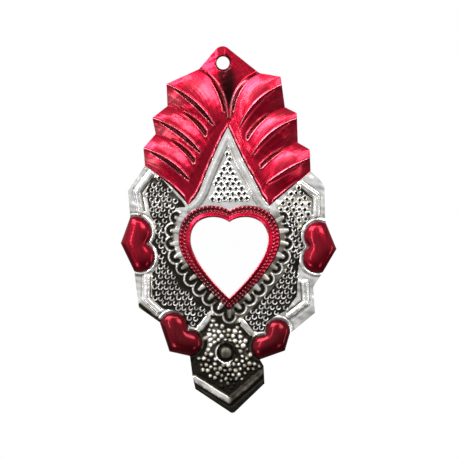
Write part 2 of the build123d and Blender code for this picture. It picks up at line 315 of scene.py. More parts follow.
def hole_loop():
    angles = np.linspace(0, 2 * math.pi, HOLE_STEPS, endpoint=False)
    return HOLE_D / 2 * np.stack((np.cos(angles), np.sin(angles)), axis=-1)


def inside(loop, places):
    """Which places lie inside a closed loop."""
    loop = np.asarray(loop, float)
    hit = np.zeros(len(places), bool)
    near = np.all((places >= loop.min(0)) & (places <= loop.max(0)), axis=1)
    x, y = places[near].T
    found = np.zeros(len(x), bool)
    for (ax, ay), (bx, by) in zip(loop, np.roll(loop, -1, axis=0)):
        if ay != by:
            crosses = (ay > y) != (by > y)
            found ^= crosses & (x < (bx - ax) * (y - ay) / (by - ay) + ax)
    hit[near] = found
    return hit


def line_distance(points, places):
    """Distance from places to an open line, and the share of its length at the nearest point."""
    points = np.asarray(points, float)
    best = np.full(len(places), FAR)
    share = np.zeros(len(places))
    lengths = np.linalg.norm(np.diff(points, axis=0), axis=1)
    done = 0.0
    for a, b, length in zip(points, points[1:], lengths):
        step = b - a
        part = np.clip(((places - a) @ step) / length ** 2, 0, 1)
        distance = np.linalg.norm(places - a - part[:, None] * step, axis=1)
        closer = distance < best
        best[closer] = distance[closer]
        share[closer] = ((done + part * length) / lengths.sum())[closer]
        done += length
    return best, share


def closed(loop):
    return np.concatenate((loop, loop[:1]))


# Unevenness left by hand work: rise and length of its waves.
WAVES = 6
WAVE_SPREAD = (0.7, 1.4)
SHEET_WAVES = ((0.11, 8.0), (0.045, 3.2))
LEAF_WAVES = ((0.06, 7.0), (0.025, 2.8))
TOP_WAVES = ((0.06, 6.0), (0.025, 2.4))


def wander(places, length, rng):
    """Crossed waves of about the given length, about -1 to 1."""
    total = np.zeros(len(places))
    turns = rng.uniform(0, 2 * math.pi, WAVES)
    phases = rng.uniform(0, 2 * math.pi, WAVES)
    lengths = length * rng.uniform(*WAVE_SPREAD, WAVES)
    for turn, phase, wave in zip(turns, phases, lengths):
        total += np.sin((places @ (math.cos(turn), math.sin(turn))) * 2 * math.pi / wave + phase)
    return total / (WAVES / 2)


def hand_waves(places, waves, rng):
    return sum(rise * wander(places, length, rng) for rise, length in waves)


def make_piece(name, places, heights, faces, material, slot, **attributes):
    """A pressed piece of the sheet: its face, the same relief on its back, and its cut edge."""
    faces = np.asarray(faces)
    corners = places[np.where(faces < 0, faces[:, :1], faces)]
    area = np.zeros(len(faces))
    for i in range(faces.shape[1]):
        a, b = corners[:, i], corners[:, (i + 1) % faces.shape[1]]
        area += a[:, 0] * b[:, 1] - a[:, 1] * b[:, 0]
    loops = [[v for v in face if v >= 0] for face in faces.tolist()]
    loops = [face if turn > 0 else face[::-1] for face, turn in zip(loops, area)]
    count = len(places)
    starts = np.array([v for face in loops for v in face])
    ends = np.array([v for face in loops for v in face[1:] + face[:1]])
    forward = starts.astype(np.int64) * count + ends
    rim = ~np.isin(forward, ends.astype(np.int64) * count + starts)
    walls = np.stack((ends[rim], starts[rim], starts[rim] + count, ends[rim] + count), axis=-1).tolist()
    backs = [[v + count for v in reversed(face)] for face in loops]
    front = np.column_stack((places[:, 0], -heights, places[:, 1])) * MM
    back = front + np.array((0, SHEET * MM, 0))
    mesh = bpy.data.meshes.new(name)
    mesh.from_pydata(np.concatenate((front, back)).tolist(), [], loops + backs + walls)
    layers = {key: np.concatenate((values, values)) for key, values in attributes.items()}
    layers["back"] = np.repeat((0.0, 1.0), count)
    for key, values in layers.items():
        layer = mesh.attributes.new(key, "FLOAT", "POINT")
        layer.data.foreach_set("value", values.astype(np.float32))
    mesh.shade_smooth()
    mesh.set_sharp_from_angle(angle=math.radians(SHARP_DEG))
    mesh.materials.append(material)
    piece = bpy.data.objects.new(name, mesh)
    bpy.context.scene.collection.objects.link(piece)
    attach(piece, "root")
    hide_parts("embossed_sheet")


def red_piece(name, places, heights, faces, material, hollow, across, along, pale=0.0, bare=0.0):
    """A lacquered piece, with where its lacquer pools or is painted darker as shade, where pink highlights are
    painted on, where it is worn off, and the way its grain runs.
    """
    layers = dict(hollow=np.clip(hollow, 0, 1), pale=pale, bare=bare, across=across, along=along)
    layers = {key: np.broadcast_to(values, heights.shape).ravel() for key, values in layers.items()}
    places = places.reshape(-1, 2)
    make_piece(name, places, heights.ravel(), faces, material, "red_lacquer", **layers)


def lattice_faces(rows, columns, wrap=False):
    i, j = np.meshgrid(np.arange(rows if wrap else rows - 1), np.arange(columns - 1), indexing="ij")
    i, j = i.ravel(), j.ravel()
    k = (i + 1) % rows
    return np.stack((i * columns + j, k * columns + j, k * columns + j + 1, i * columns + j + 1), axis=-1)


# Pleated leaves. Drops, spans and painted highlight glows along a leaf are shares of its length, from rim to
# root.
PLEAT_H = 2.0
RIDGE_MID = 0.8
LEFT_DROPS = (0.02, 0.02, 0.02)
RIGHT_DROPS = (0.27, 0.18, 0.38)
LEFT_GROOVE = 1.0
RIGHT_GROOVE = 0.25
LEAF_STEPS = 90
PANEL_STEPS = 36
PANEL_APART = 7.0
LEAF_SWELL = 1.7
LEAF_FALL = 1.2
RIM_FADE = 6
RIM_ROLL = 0.3
RIM_CURL = 0.9
RIM_TURN = 5
LEAF_BEAD = (0.22, 0.0, 0.32)
# Painted highlight: a pink line along each ridge.
BEAD_LINE = (0.85, 0.0, 0.28, 0.1)
BEAD_SPAN = (1.0, 0.9)
ROOT_LIFT = 0.8
ROOT_SPAN = (0.3, 1.0)
# Painted shade: darker towards the roots.
ROOT_DARK = 0.2
ROOT_DARK_SPAN = (0.72, 1.0)
# Painted highlight: a pink sheen on the rising panels and near the rim of the falling ones.
GLOW_ACROSS = (0.13, 0.5, 0.28)
GLOW_ALONG = (1.0, 0.35, 0.28)
RIM_GLOW = (0.36, 0.6, 0.3)
RIM_GLOW_SPAN = (0.45, 0.05)

# Chased valleys between the leaves, with a hatched floor, painted darker as shade and edged with a painted
# highlight line.
VALLEY_SPAN = (0.25, 0.5)
VALLEY_WIDE_SPAN = (0.25, 0.7)
VALLEY_END = 0.88
VALLEY_HALF = 0.2
VALLEY_WIDEN = 0.15
GROOVE_WIDEN = 0.3
VALLEY_D = 0.4
VALLEY_LIP = (0.2, 0.35, 0.24)
VALLEY_LINE = (0.55, 0.3, 0.3, 0.12)
VALLEY_DARK = 0.35
GROOVE_DARK = 0.3
FOLD_DARK = (0.25, 0.0, 0.5)
HATCH = 0.8
HATCH_H = 0.14
HATCH_DARK = 0.25

# Lens-shaped grooves beside the ridges, painted darker as shade, with a painted highlight line beyond.
LENS_SPAN = (0.1, 0.96)
LENS_ROUND = 0.7
LENS_OFF = 0.35
LENS_SHIFT = 0.6
LENS_HALF = 0.5
LENS_EDGE = 0.12
LENS_ENDS = (0.0, 0.3)
LENS_D = 0.55
LENS_LINE = (0.65, 0.3, 0.25, 0.1)

# The strip between the roots and the triangle, with painted highlight and painted shade bands and a painted
# highlight line.
STRIP_STEPS = 14
STRIP_BEAD = (0.25, 0.8, 0.35)
STRIP_SPAN = (0.0, 0.4)
STRIP_LIGHT = (1.2, 0.9, 0.4)
STRIP_DARK = (1.0, 0.0, 0.35)
STRIP_LINE = (0.6, 0.9, 0.3, 0.12)


def ridge_height(t):
    """Height of a ridge from rim to root."""
    pull = 2 * RIDGE_MID - 0.5
    return PLEAT_H * ((1 - t) ** 2 + 2 * t * (1 - t) * pull) * (1 - RIM_ROLL * (1 - t) ** RIM_TURN)


def lens_groove(t, to_ridge):
    """How far a lens-shaped groove is cut, and the painted highlight line beyond it."""
    lens = np.sin(math.pi * np.interp(t, LENS_SPAN, (0, 1))) ** LENS_ROUND
    middle = LENS_OFF + LENS_SHIFT * lens
    beyond = np.abs(to_ridge - middle) - LENS_HALF * lens
    ends = smooth(*LENS_ENDS, lens)
    pale = line(LENS_LINE, beyond) * ends * (to_ridge > middle)
    return smooth(LENS_EDGE, -LENS_EDGE, beyond) * ends, pale


def leaf_relief(panel, t, w, width, length, groove):
    """Height, pooled lacquer with painted shade, and painted highlight lines of one pleated panel; t runs from
    rim to root and w across it.
    """
    rising = panel % 2 == 0
    to_ridge = (1 - w) * width if rising else w * width
    to_valley = width - to_ridge
    swell = 1 - (1 - w) ** LEAF_SWELL if rising else (1 - w) ** LEAF_FALL
    fade = smooth(*BEAD_SPAN, t)
    valley_r = np.hypot(to_valley, length * np.maximum(t - VALLEY_END, 0))
    half = VALLEY_HALF + (VALLEY_WIDEN + GROOVE_WIDEN * groove) * smooth(*VALLEY_WIDE_SPAN, t)
    chased = smooth(*VALLEY_SPAN, t)
    hatch = 0.5 + 0.5 * np.sin(2 * math.pi * t * length / HATCH)
    valley = smooth(half, half / 2, valley_r) * chased
    height = ridge_height(t) * swell + ridge(LEAF_BEAD, to_ridge) * fade
    height += (HATCH_H * hatch - VALLEY_D) * valley + ridge(VALLEY_LIP, valley_r - half) * chased
    # Painted shade in the valleys, folds and towards the root; painted highlight lines on the valley lips and
    # along the ridge.
    hollow = (VALLEY_DARK + GROOVE_DARK * groove + HATCH_DARK * hatch) * valley
    hollow += ridge(FOLD_DARK, to_valley) * fade + ROOT_DARK * smooth(*ROOT_DARK_SPAN, t)
    pale = np.maximum(line(VALLEY_LINE, valley_r - half) * chased, line(BEAD_LINE, to_ridge) * fade)
    if rising:
        return height, hollow, np.maximum(pale, ridge(GLOW_ACROSS, w) * ridge(GLOW_ALONG, t))
    cut, beyond = lens_groove(t, to_ridge)
    glow = ridge(RIM_GLOW, w) * smooth(*RIM_GLOW_SPAN, t)
    pale = np.maximum(pale, groove * np.maximum(beyond, glow))
    return height - LENS_D * groove * cut, hollow + groove * cut, pale


def dropped_ridges(ribs, drops):
    """The ribs with each ridge meeting the rim a share of the way from its corner to the next one."""
    ribs = list(ribs)
    for i, drop in zip((1, 3, 5), drops):
        corner, after = np.array(ribs[i][0]), np.array(ribs[i + 1][0])
        ribs[i] = (tuple(corner + drop * (after - corner)), *ribs[i][1:])
    return ribs


def rim_bulge(a, b, corner, w):
    """How far a panel's rim, from a to b by way of its corner, stands off the straight line."""
    return along((a, corner, b), w) - (np.outer(1 - w, a) + np.outer(w, b))


def leaves(name, ribs, drops, side, edge, groove, material):
    """The pleated leaves of one side of the crown, with the strip between their roots and the triangle."""
    t = np.linspace(0, 1, LEAF_STEPS)
    w = 0.5 - 0.5 * np.cos(np.linspace(0, math.pi, PANEL_STEPS))
    rows, reliefs, across = [], [], []
    curves = [rib_curve(rib, side, t) for rib in dropped_ridges(ribs, drops)]
    for panel, (a, b) in enumerate(zip(curves, curves[1:])):
        tangent = np.gradient((a + b) / 2, axis=0)
        tangent /= np.linalg.norm(tangent, axis=1)[:, None]
        width = np.abs((b - a)[:, 0] * tangent[:, 1] - (b - a)[:, 1] * tangent[:, 0])
        length = run_length((a + b) / 2)[-1]
        corner = ribs[panel + 1][0] if panel % 2 == 0 else a[0]
        bulge = rim_bulge(a[0], b[0], corner, w)
        first = 0 if panel == 0 else 1
        for share, stand in zip(w[first:], bulge[first:]):
            rows.append(a * (1 - share) + b * share + ((1 - t) ** RIM_FADE)[:, None] * stand)
            reliefs.append(leaf_relief(panel, t, share, width, length, groove))
            across.append(PANEL_APART * panel + share * width)
    rows, across = np.array(rows), np.array(across)
    heights, hollows, pales = np.array(reliefs).transpose(1, 0, 2)
    spread = np.sqrt(np.sin(np.linspace(0, math.pi, len(rows))))[:, None]
    uneven = hand_waves(rows.reshape(-1, 2), LEAF_WAVES, np.random.default_rng(SEED + side))
    lift = ROOT_LIFT * smooth(*ROOT_SPAN, t) - RIM_CURL * (1 - t) ** RIM_TURN
    heights = heights + spread * (uneven.reshape(heights.shape) + lift)
    foot = along((APEX, *edge), np.linspace(0, 1, len(rows)))
    q = np.linspace(0, 1, STRIP_STEPS + 1)[1:]
    strip = rows[:, -1:] * (1 - q)[:, None] + foot[:, None] * q[:, None]
    reach = np.linalg.norm(foot - rows[:, -1], axis=1)[:, None] * (1 - q)
    raised = ridge(STRIP_BEAD, reach) * smooth(*STRIP_SPAN, reach) + ROOT_LIFT * spread * (1 - q)
    # Painted highlight and painted shade bands across the strip.
    dark = ROOT_DARK - ridge(STRIP_LIGHT, reach) + ridge(STRIP_DARK, reach)
    places = np.hstack((rows, strip))
    red_piece(
        name, places, np.hstack((heights, raised)), lattice_faces(*places.shape[:2]), material,
        hollow=np.hstack((hollows, dark)), pale=np.hstack((pales, line(STRIP_LINE, reach))),
        across=np.hstack((across, np.repeat(across[:, -1:], STRIP_STEPS, axis=1))), along=places[..., 0],
    )


# Rope frame. Each row of teeth: place across the frame, half-width, rise, bare metal, painted highlight line.
FRAME_STEPS = 420
FRAME_ACROSS = 34
FRAME_PROFILE = (
    (0.0, 0.0), (0.2, 1.2), (0.4, 1.55), (0.6, 1.6), (0.8, 1.52),
    (1.7, 1.05), (2.0, 0.95), (3.8, 0.8), (4.3, 0.0),
)
ROPE_ROWS = (
    (2.15, 0.28, 0.4, 0.35, (0.85, 0.0, 0.35, 0.12)),
    (3.5, 0.45, 0.45, 1.0, (0.6, 0.1, 0.35, 0.12)),
)
ROPE_TEETH = 38
EVEN_TEETH = 0.7 * FRAME_W
ROPE_SLANT = 0.3
TOOTH_ROUND = 1.4
TOOTH_TOP = (0.75, 1.0)
# Painted shade between the teeth, in the gutters, at the top of the frame, lower down and on the left.
TOOTH_GAP_DARK = 0.6
WORN_SHARP = 4
WORN_DOWN = (-74, -82)
WORN_LEFT = (AXIS_X, AXIS_X - 4)
ROPE_GUTTERS = ((0.45, 1.7, 0.2), (0.35, 2.8, 0.35))
ROPE_TOP_DARK = 0.4
ROPE_TOP_UP = (-60, -55)
ROPE_TOP_OUT = (1.5, 2.1)
ROPE_LOW_DARK = 0.5
ROPE_LOW_DOWN = (-66, -80)
ROPE_LEFT_DARK = 0.22
ROPE_LEFT = (AXIS_X - 4, AXIS_X - 9)


def rope_frame(material):
    """The rope frame round the window: a smooth inner lip and two rows of teeth."""
    stations = even_stations(EVEN_TEETH, FRAME_STEPS)
    teeth = np.linspace(0, ROPE_TEETH, FRAME_STEPS)
    teeth = np.concatenate((teeth, teeth[-2:0:-1]))[:, None]
    grow = np.linspace(0, FRAME_W, FRAME_ACROSS)
    places = np.stack([window_loop(g, stations) for g in grow], axis=1)
    x, y = places[..., 0], places[..., 1]
    height = np.tile(np.interp(grow, *zip(*FRAME_PROFILE)), (len(teeth), 1))
    hollow, bare, pale = np.zeros((3, *height.shape))
    for row, (middle, half, rise, worn, pale_line) in enumerate(ROPE_ROWS):
        turn = teeth + ROPE_SLANT * (grow - middle) + 0.5 * row
        wave = 0.5 + 0.5 * np.cos(2 * math.pi * turn)
        band = bump(grow - middle, half)
        height += rise * wave ** TOOTH_ROUND * band
        # Painted shade between the teeth, and a painted highlight line on their tops.
        hollow += TOOTH_GAP_DARK * (1 - wave) * band
        bare += worn * wave ** WORN_SHARP * band
        pale += smooth(*TOOTH_TOP, wave) * line(pale_line, grow - middle)
    bare *= smooth(*WORN_DOWN, y) * smooth(*WORN_LEFT, x)
    # Painted shade in the gutters, at the top, lower down and on the left.
    hollow += sum(ridge(gutter, grow) for gutter in ROPE_GUTTERS)
    hollow += ROPE_TOP_DARK * smooth(*ROPE_TOP_UP, y) * smooth(*ROPE_TOP_OUT, grow)
    hollow += ROPE_LOW_DARK * smooth(*ROPE_LOW_DOWN, y) + ROPE_LEFT_DARK * smooth(*ROPE_LEFT, x)
    faces = lattice_faces(len(teeth), FRAME_ACROSS, wrap=True)
    red_piece("rope_frame", places, height, faces, material, hollow, x, y, pale, bare)


# Puffed hearts at the edge, their red deepened, with painted shade deeper on the lower hearts and at the rim.
DOME_H = 2.6
HEART_STEPS = 46
HEART_ACROSS = 40
HEART_CROWD = 0.8
HEART_TO_CLEFT = 0.7
HEART_PUFF = 0.55
HEART_DEEP = 0.56
LOWER_HEART_DEEP = 0.75
HEART_RIM_DARK = 0.5
HEART_RIM = (0.12, 0.0)
MEMBRANE_GRID = 0.15
MEMBRANE_ROUNDS = 900


def membrane(loop):
    """A film blown up inside a loop, as a function of place, between 0 at the loop and 1 at its highest."""
    low, high = loop.min(0) - 2 * MEMBRANE_GRID, loop.max(0) + 2 * MEMBRANE_GRID
    x, y = [np.arange(low[i], high[i], MEMBRANE_GRID) for i in (0, 1)]
    gx, gy = np.meshgrid(x, y)
    within = inside(loop, np.stack((gx.ravel(), gy.ravel()), axis=-1)).reshape(gx.shape)
    film = np.zeros(gx.shape)
    for _ in range(MEMBRANE_ROUNDS):
        around = np.roll(film, 1, 0) + np.roll(film, -1, 0) + np.roll(film, 1, 1) + np.roll(film, -1, 1)
        film = np.where(within, around / 4 + 1, 0)
    film /= film.max()

    def at(places):
        spot = (places - low) / MEMBRANE_GRID
        cell = np.clip(np.floor(spot).astype(int), 0, np.array(film.shape)[::-1] - 2)
        (u, v), (i, j) = (spot - cell).T, cell.T
        upper = film[j + 1, i] * (1 - u) + film[j + 1, i + 1] * u
        return (film[j, i] * (1 - u) + film[j, i + 1] * u) * (1 - v) + upper * v

    return at


def edge_heart(name, corners, material):
    """A puffed heart at the edge, on a lattice about a middle between cleft and point."""
    point, cleft = np.array(corners[1]), np.array(corners[4])
    loop = heart_loop(corners, HEART_STEPS)
    middle = cleft * HEART_TO_CLEFT + point * (1 - HEART_TO_CLEFT)
    share = (np.linspace(0, 1, HEART_ACROSS) ** HEART_CROWD)[1:]
    places = (middle + (loop - middle)[:, None] * share[:, None]).reshape(-1, 2)
    flat = np.concatenate((places, middle[None]))
    film = membrane(loop)(flat)
    film[len(share) - 1:-1:len(share)] = 0
    # Painted shade: deeper red on the lower hearts and round each heart's rim.
    deep = LOWER_HEART_DEEP if point[1] < WINDOW_TIP else HEART_DEEP
    hollow = deep + HEART_RIM_DARK * smooth(*HEART_RIM, film)
    first = np.arange(len(loop)) * len(share)
    pole, none = np.full(len(loop), len(places)), np.full(len(loop), -1)
    fan = np.stack((pole, first, np.roll(first, -1), none), axis=-1)
    faces = np.concatenate((lattice_faces(len(loop), len(share), wrap=True), fan))
    red_piece(name, flat, DOME_H * film ** HEART_PUFF, faces, material, hollow, *flat.T)


class Bench:
    """A fine grid over the whole sheet whose vertices are drawn onto the borders between its areas."""

    def __init__(self):
        self.outline = outline_loop()
        self.frame = window_loop(FRAME_W, even_stations(FRAME_W, FRAME_EDGE_STEPS))
        self.hearts = [heart_loop(corners, HEART_EDGE_STEPS) for corners in HEARTS.values()]
        t = np.linspace(0, 1, RIB_STEPS)
        left, left_low = [rib_curve(LEFT_RIBS[i], 1, t) for i in (0, -1)]
        right, right_low = [rib_curve(RIGHT_RIBS[i], -1, t) for i in (0, -1)]
        left_inner = (left_low, TRIANGLE_LEFT[::-1], [APEX])
        right_inner = (right_low, TRIANGLE_RIGHT[::-1], [APEX])
        self.top_leaf = np.concatenate((left, [APEX], right[::-1], ABOVE_CROWN))
        self.crown_left = np.concatenate((left[::-1], LEFT_OF_CROWN, *left_inner))
        self.crown_right = np.concatenate((right[::-1], RIGHT_OF_CROWN, *right_inner))
        self.triangle = np.concatenate(([APEX], TRIANGLE_LEFT, TRIANGLE_FOOT, TRIANGLE_RIGHT[::-1]))
        self.tail = np.array([*TAIL_TOP, *ROUND_TAIL])
        self.low, high = self.outline.min(0) - 1, self.outline.max(0) + 1
        x, y = [np.arange(self.low[i], high[i], GRID) for i in (0, 1)]
        self.shape = (len(y), len(x))
        gx, gy = np.meshgrid(x, y)
        self.places = np.stack((gx.ravel(), gy.ravel()), axis=-1)
        self.drawn = self.draw_to_borders()

    def borders(self):
        lines = [closed(loop) for loop in (self.outline, self.frame, hole_loop(), *self.hearts)]
        lines += [self.top_leaf[:-2], self.crown_left[RIB_STEPS + 1:], self.crown_right[RIB_STEPS + 1:]]
        foot_corner = len(TRIANGLE_LEFT) + 3
        lines += [self.triangle[:foot_corner + 1], self.triangle[foot_corner:]]
        return lines + [TAIL_TOP, ((AXIS_X, WINDOW_TIP - FRAME_W), TAIL_TOP[3])]

    def draw_to_borders(self):
        """Moves the vertices nearest to a border onto it, and tells which ones moved."""
        lines = self.borders()
        samples = np.concatenate([along(path, int(run_length(path)[-1] / STEP) + 2) for path in lines])
        corners = np.concatenate((self.outline, TAIL_TOP, [APEX]))
        cell = np.floor((samples - self.low) / GRID).astype(int)
        pairs = []
        for dx in (0, 1):
            for dy in (0, 1):
                index = (cell[:, 1] + dy) * self.shape[1] + cell[:, 0] + dx
                gap = np.linalg.norm(self.places[index] - samples, axis=1)
                pairs.append((index, gap, samples))
        index, gap, spot = [np.concatenate(part) for part in zip(*pairs)]
        order = np.argsort(gap)[::-1]
        best = np.full(len(self.places), FAR)
        target = self.places.copy()
        best[index[order]] = gap[order]
        target[index[order]] = spot[order]
        near = np.round((corners - self.low) / GRID).astype(int)
        index = near[:, 1] * self.shape[1] + near[:, 0]
        best[index] = 0
        target[index] = corners
        drawn = best < GRID / 2
        self.places[drawn] = target[drawn]
        return drawn

    def areas(self, places):
        """The area that each place belongs to."""
        area = np.where(places[:, 0] < AXIS_X, "field_left", "field_right").astype("U12")
        area[inside(self.tail, places)] = "tail"
        area[inside(self.triangle, places)] = "triangle"
        area[inside(self.crown_left, places) | inside(self.crown_right, places)] = "none"
        area[inside(self.top_leaf, places)] = "top_leaf"
        for loop in (self.frame, *self.hearts, hole_loop()):
            area[inside(loop, places)] = "none"
        area[~inside(self.outline, places)] = "none"
        return area

    def faces(self):
        """Faces by area: whole squares, and halves where a border runs across a square."""
        rows, columns = self.shape
        i, j = np.meshgrid(np.arange(rows - 1), np.arange(columns - 1), indexing="ij")
        a = (i * columns + j).ravel()
        b, c, d = a + 1, a + columns + 1, a + columns
        other = (self.drawn[b] & self.drawn[d]) & ~(self.drawn[a] & self.drawn[c])
        first = np.where(other[:, None], np.stack((a, b, d), -1), np.stack((a, b, c), -1))
        second = np.where(other[:, None], np.stack((b, c, d), -1), np.stack((a, c, d), -1))
        found = [self.areas(self.places[half].mean(axis=1)) for half in (first, second)]
        whole = found[0] == found[1]
        result = {}
        blank = np.full((len(a), 1), -1)
        for area in ("top_leaf", "triangle", "field_left", "field_right", "tail"):
            parts = [np.stack((a, b, c, d), -1)[whole & (found[0] == area)]]
            for half, kind in zip((first, second), found):
                parts.append(np.hstack((half, blank))[~whole & (kind == area)])
            result[area] = np.concatenate(parts)
        return result

    def pick(self, faces):
        """The vertices that some faces use, and the faces by those vertices."""
        used = np.unique(faces[faces >= 0])
        renumber = np.full(len(self.places) + 1, -1)
        renumber[used] = np.arange(len(used))
        return used, renumber[faces]


# Scallops: crescent punch marks round the frame, with painted shade in the groove and painted highlights on the
# rim and tongue. Out and across run from each one's middle.
SCALLOPS_A_SIDE = 9
SCALLOP_STEPS = 801
SCALLOP_OUT = 2.3
SCALLOP_FIRST = -53.8
SCALLOP_R = 1.6
SCALLOP_D = 0.45
SCALLOP_W = 0.42
SCALLOP_REACH = 3.6
SCALLOP_SIZES = (0.9, 1.08)
SCALLOP_TURN = 0.3
SCALLOP_LIP = (0.35, 0.75, 0.28)
LEG_SPAN = (-0.9, 0.2)
# Painted shade in the groove, darker towards the upper left, and painted highlights on the rim and tongue.
LEG_LIGHT = (-0.5, 0.85)
LEG_DARK = 0.65
LIP_BRIGHT = (0.75, 1.1)
LIP_SPAN = (-0.8, 0.8)
TONGUE_H = 0.1
TONGUE_HALF = 0.55
TONGUE_WIDEN = 0.5
TONGUE_WIDE_SPAN = (0.6, -1.4)
TONGUE_CORE = 0.4
TONGUE_LEAN = 1.3
TONGUE_TIP = (0.9, 0.2)
TONGUE_FOOT = (-3.0, -2.2)
TONGUE_BRIGHT = 0.25
TONGUE_GROWTH = 3.5


def scallop_spots():
    out = FRAME_W + SCALLOP_OUT
    spots = [((AXIS_X, WINDOW_TIP - out), (0.0, -1.0))]
    stations = even_stations(out, SCALLOP_STEPS)
    for side in (1, -1):
        path = window_half(side, out, stations)
        step = np.gradient(path, axis=0)
        outward = np.stack((step[:, 1], -step[:, 0]), axis=-1) * -side
        outward /= np.linalg.norm(outward, axis=1)[:, None]
        first = np.nonzero(path[:, 1] > SCALLOP_FIRST)[0].max()
        for i in range(SCALLOPS_A_SIDE):
            k = first + round((SCALLOP_STEPS - 1 - first) * i / SCALLOPS_A_SIDE)
            spots.append((path[k], outward[k]))
    return spots


# Punched fields: pitch, unevenness and the distance kept from the field's edge.
SIDE_PUNCH = (2.05, 0.45, 0.5)
TRIANGLE_PUNCH = (2.0, 0.2, 0.3)
TAIL_PUNCH = (1.9, 0.8, 0.4)
ROW_PITCH = 0.87
SPREAD_ROUNDS = 8
SPREAD_PUSH = 0.4
SPREAD_APART = 0.93


def punch_spots(field, punch, rng):
    """Punch marks in staggered rows inside a field, unevenly set by hand."""
    pitch, jitter, keep = punch
    field = np.asarray(field)
    low, high = field.min(0) - pitch, field.max(0) + pitch
    spots = []
    for row, y in enumerate(np.arange(low[1], high[1], pitch * ROW_PITCH)):
        for x in np.arange(low[0] + pitch / 2 * (row % 2), high[0], pitch):
            spots.append((x + rng.uniform(-jitter, jitter), y + rng.uniform(-jitter, jitter)))
    spots = np.array(spots)
    spots = spots[inside(field, spots)]
    for _ in range(SPREAD_ROUNDS):
        gap = spots[:, None] - spots[None]
        distance = np.linalg.norm(gap, axis=-1) + np.eye(len(spots)) * FAR
        push = np.clip(pitch * SPREAD_APART - distance, 0, None) / distance
        spots = spots + SPREAD_PUSH * (gap * push[..., None]).sum(axis=1)
    edge, _ = line_distance(closed(field), spots)
    return spots[inside(field, spots) & (edge > keep)]


# Border ridges along the edge, above the tail and at its tip, with the trough at their foot.
EDGE_RIDGES = (
    ((-25.0, -38.2), (-29.8, -44.8), (-28.6, -51.8)),
    ((-26.6, -74.4), (-26.6, -81.9), (-22.2, -86.0)),
    ((27.0, -42.2), (32.4, -46.1), (32.4, -52.8)),
    ((28.4, -76.2), (28.8, -83.3), (23.0, -87.8)),
)
TAIL_RIDGES = (((-4.2, -87.2), (-8.2, -92.4)), ((6.4, -89.8), (10.4, -94.2)))
TIP_RIDGE = ((-9.8, -109.6), (2.4, -117.3), (13.8, -107.4))
EDGE_RIDGE_W = 0.75
TAIL_RIDGE_W = 1.0
RIDGE_H = 0.42
TAIL_RIDGE_H = 0.25
RIDGE_SIDE = (1.7, 0.6)
RIDGE_REACH = 4.0
TROUGH = (1.0, 0.7, 0.4)
TROUGH_D = 0.12
# Darker in the trough at each ridge's foot, fainter on the outer side.
TROUGH_DARK = 0.8
OUTER_TROUGH = 0.45

# Triangle, hearts' surrounds, pits, knobs and boss, with their painted shade and painted highlights. MARK_REACH
# stands for no mark nearby.
MARK_REACH = 4.0
TRIANGLE_CALM = 0.75
TRIANGLE_BAND = (0.08, 1.5, 0.55)
# Painted shade: dark lines in the triangle's bands.
TRIANGLE_LINES = ((0.3, 2.1, 0.3), (0.5, 3.0, 0.35))
PANEL_D = 0.17
PANEL_SPAN = (2.4, 3.3)
HEART_BEAD = (0.16, 0.55, 0.4)
# Painted shade: a dark line round each heart, outside its bead.
HEART_LINE = (0.5, 1.25, 0.4)
HEART_REACH = 3.0
PIT_R = 0.66
PIT_SIZES = (0.88, 1.1)
PIT_D = 0.42
PIT_SPAN = (1.0, 0.35)
PIT_LIP = (0.2, 1.1, 0.25)
PIT_REACH = 2.0
# Painted shade in each pit's middle, set upwards, and a painted highlight on its lower wall.
PIT_CORE_AT = (0.05, 0.12)
PIT_LOW = (-0.4, -0.92)
KNOB_R = 1.05
KNOB_SIZES = (0.75, 1.15)
KNOB_H = 0.6
KNOB_REACH = 1.6
KNOB_SQUASH = (0.6, 1.0)
# Painted highlight on each knob, set towards the upper left, fading out towards the tip.
KNOB_SHINE = (0.3, 0.75)
KNOB_SHINE_UP = (-115, -107)
KNOB_TOP_AT = (-0.12, 0.18)
BOSS_AT = (1.0, -100.6)
BOSS_R = 2.7
BOSS_H = 1.2
BOSS_CLEAR = 1.5
BOSS_REACH = 5.0
BOSS_RING = (1.0, 0.7, 0.28)
BOSS_RING_H = 0.35
# Painted highlights on the boss's top and on the lower left of its ring, and painted shade round its foot.
BOSS_RING_BRIGHT = 1.2
BOSS_DARK_W = 0.5
BOSS_BRIGHT = 0.15
BOSS_TOP = (0.5, 0.9)
BOSS_LIT = (-0.4, 0.7)

# Tarnish and painted shade: how dark each area is, and where it fades, with painted highlights by the frame and
# on the tail's ridges.
LOWER_DOWN = (-58, -74)
LEFT_TARNISH = 0.85
RIGHT_TARNISH = 0.47
# Painted shade in a band outside the frame below its top, more on the left and lower down, and a painted
# highlight band by the frame on the left.
RING_STEPS = 80
RING_REACH = 7.0
RING_SPAN = (6.8, 5.6)
RING_DOWN = (-50, -54)
RING_DARK = 0.6
RING_MORE = 0.15
CLEAN_BAND = 0.5
CLEAN_SPAN = (2.0, 1.1)
CLEAN_UP = (-71, -67)
# Darker over the tail, and more so towards its tip.
TAIL_DARK = 0.8
TIP_DARK = 0.3
TIP_DOWN = (-98, -108)
# Painted highlights along the tail's ridges, brighter on the left.
TIP_BRIGHT = 0.35
TIP_LEFT_BRIGHT = 0.7
TIP_LEFT = (AXIS_X + 1, AXIS_X - 1)
TIP_GLINT_W = 1.2
TAIL_GLINT = (0.9, 0.0, 0.9)
# Darker along a stretch of the lower-left edge.
BLACK_EDGE_DARK = (1.1, 0.0, 0.9)
BLACK_EDGE_REACH = 3.0

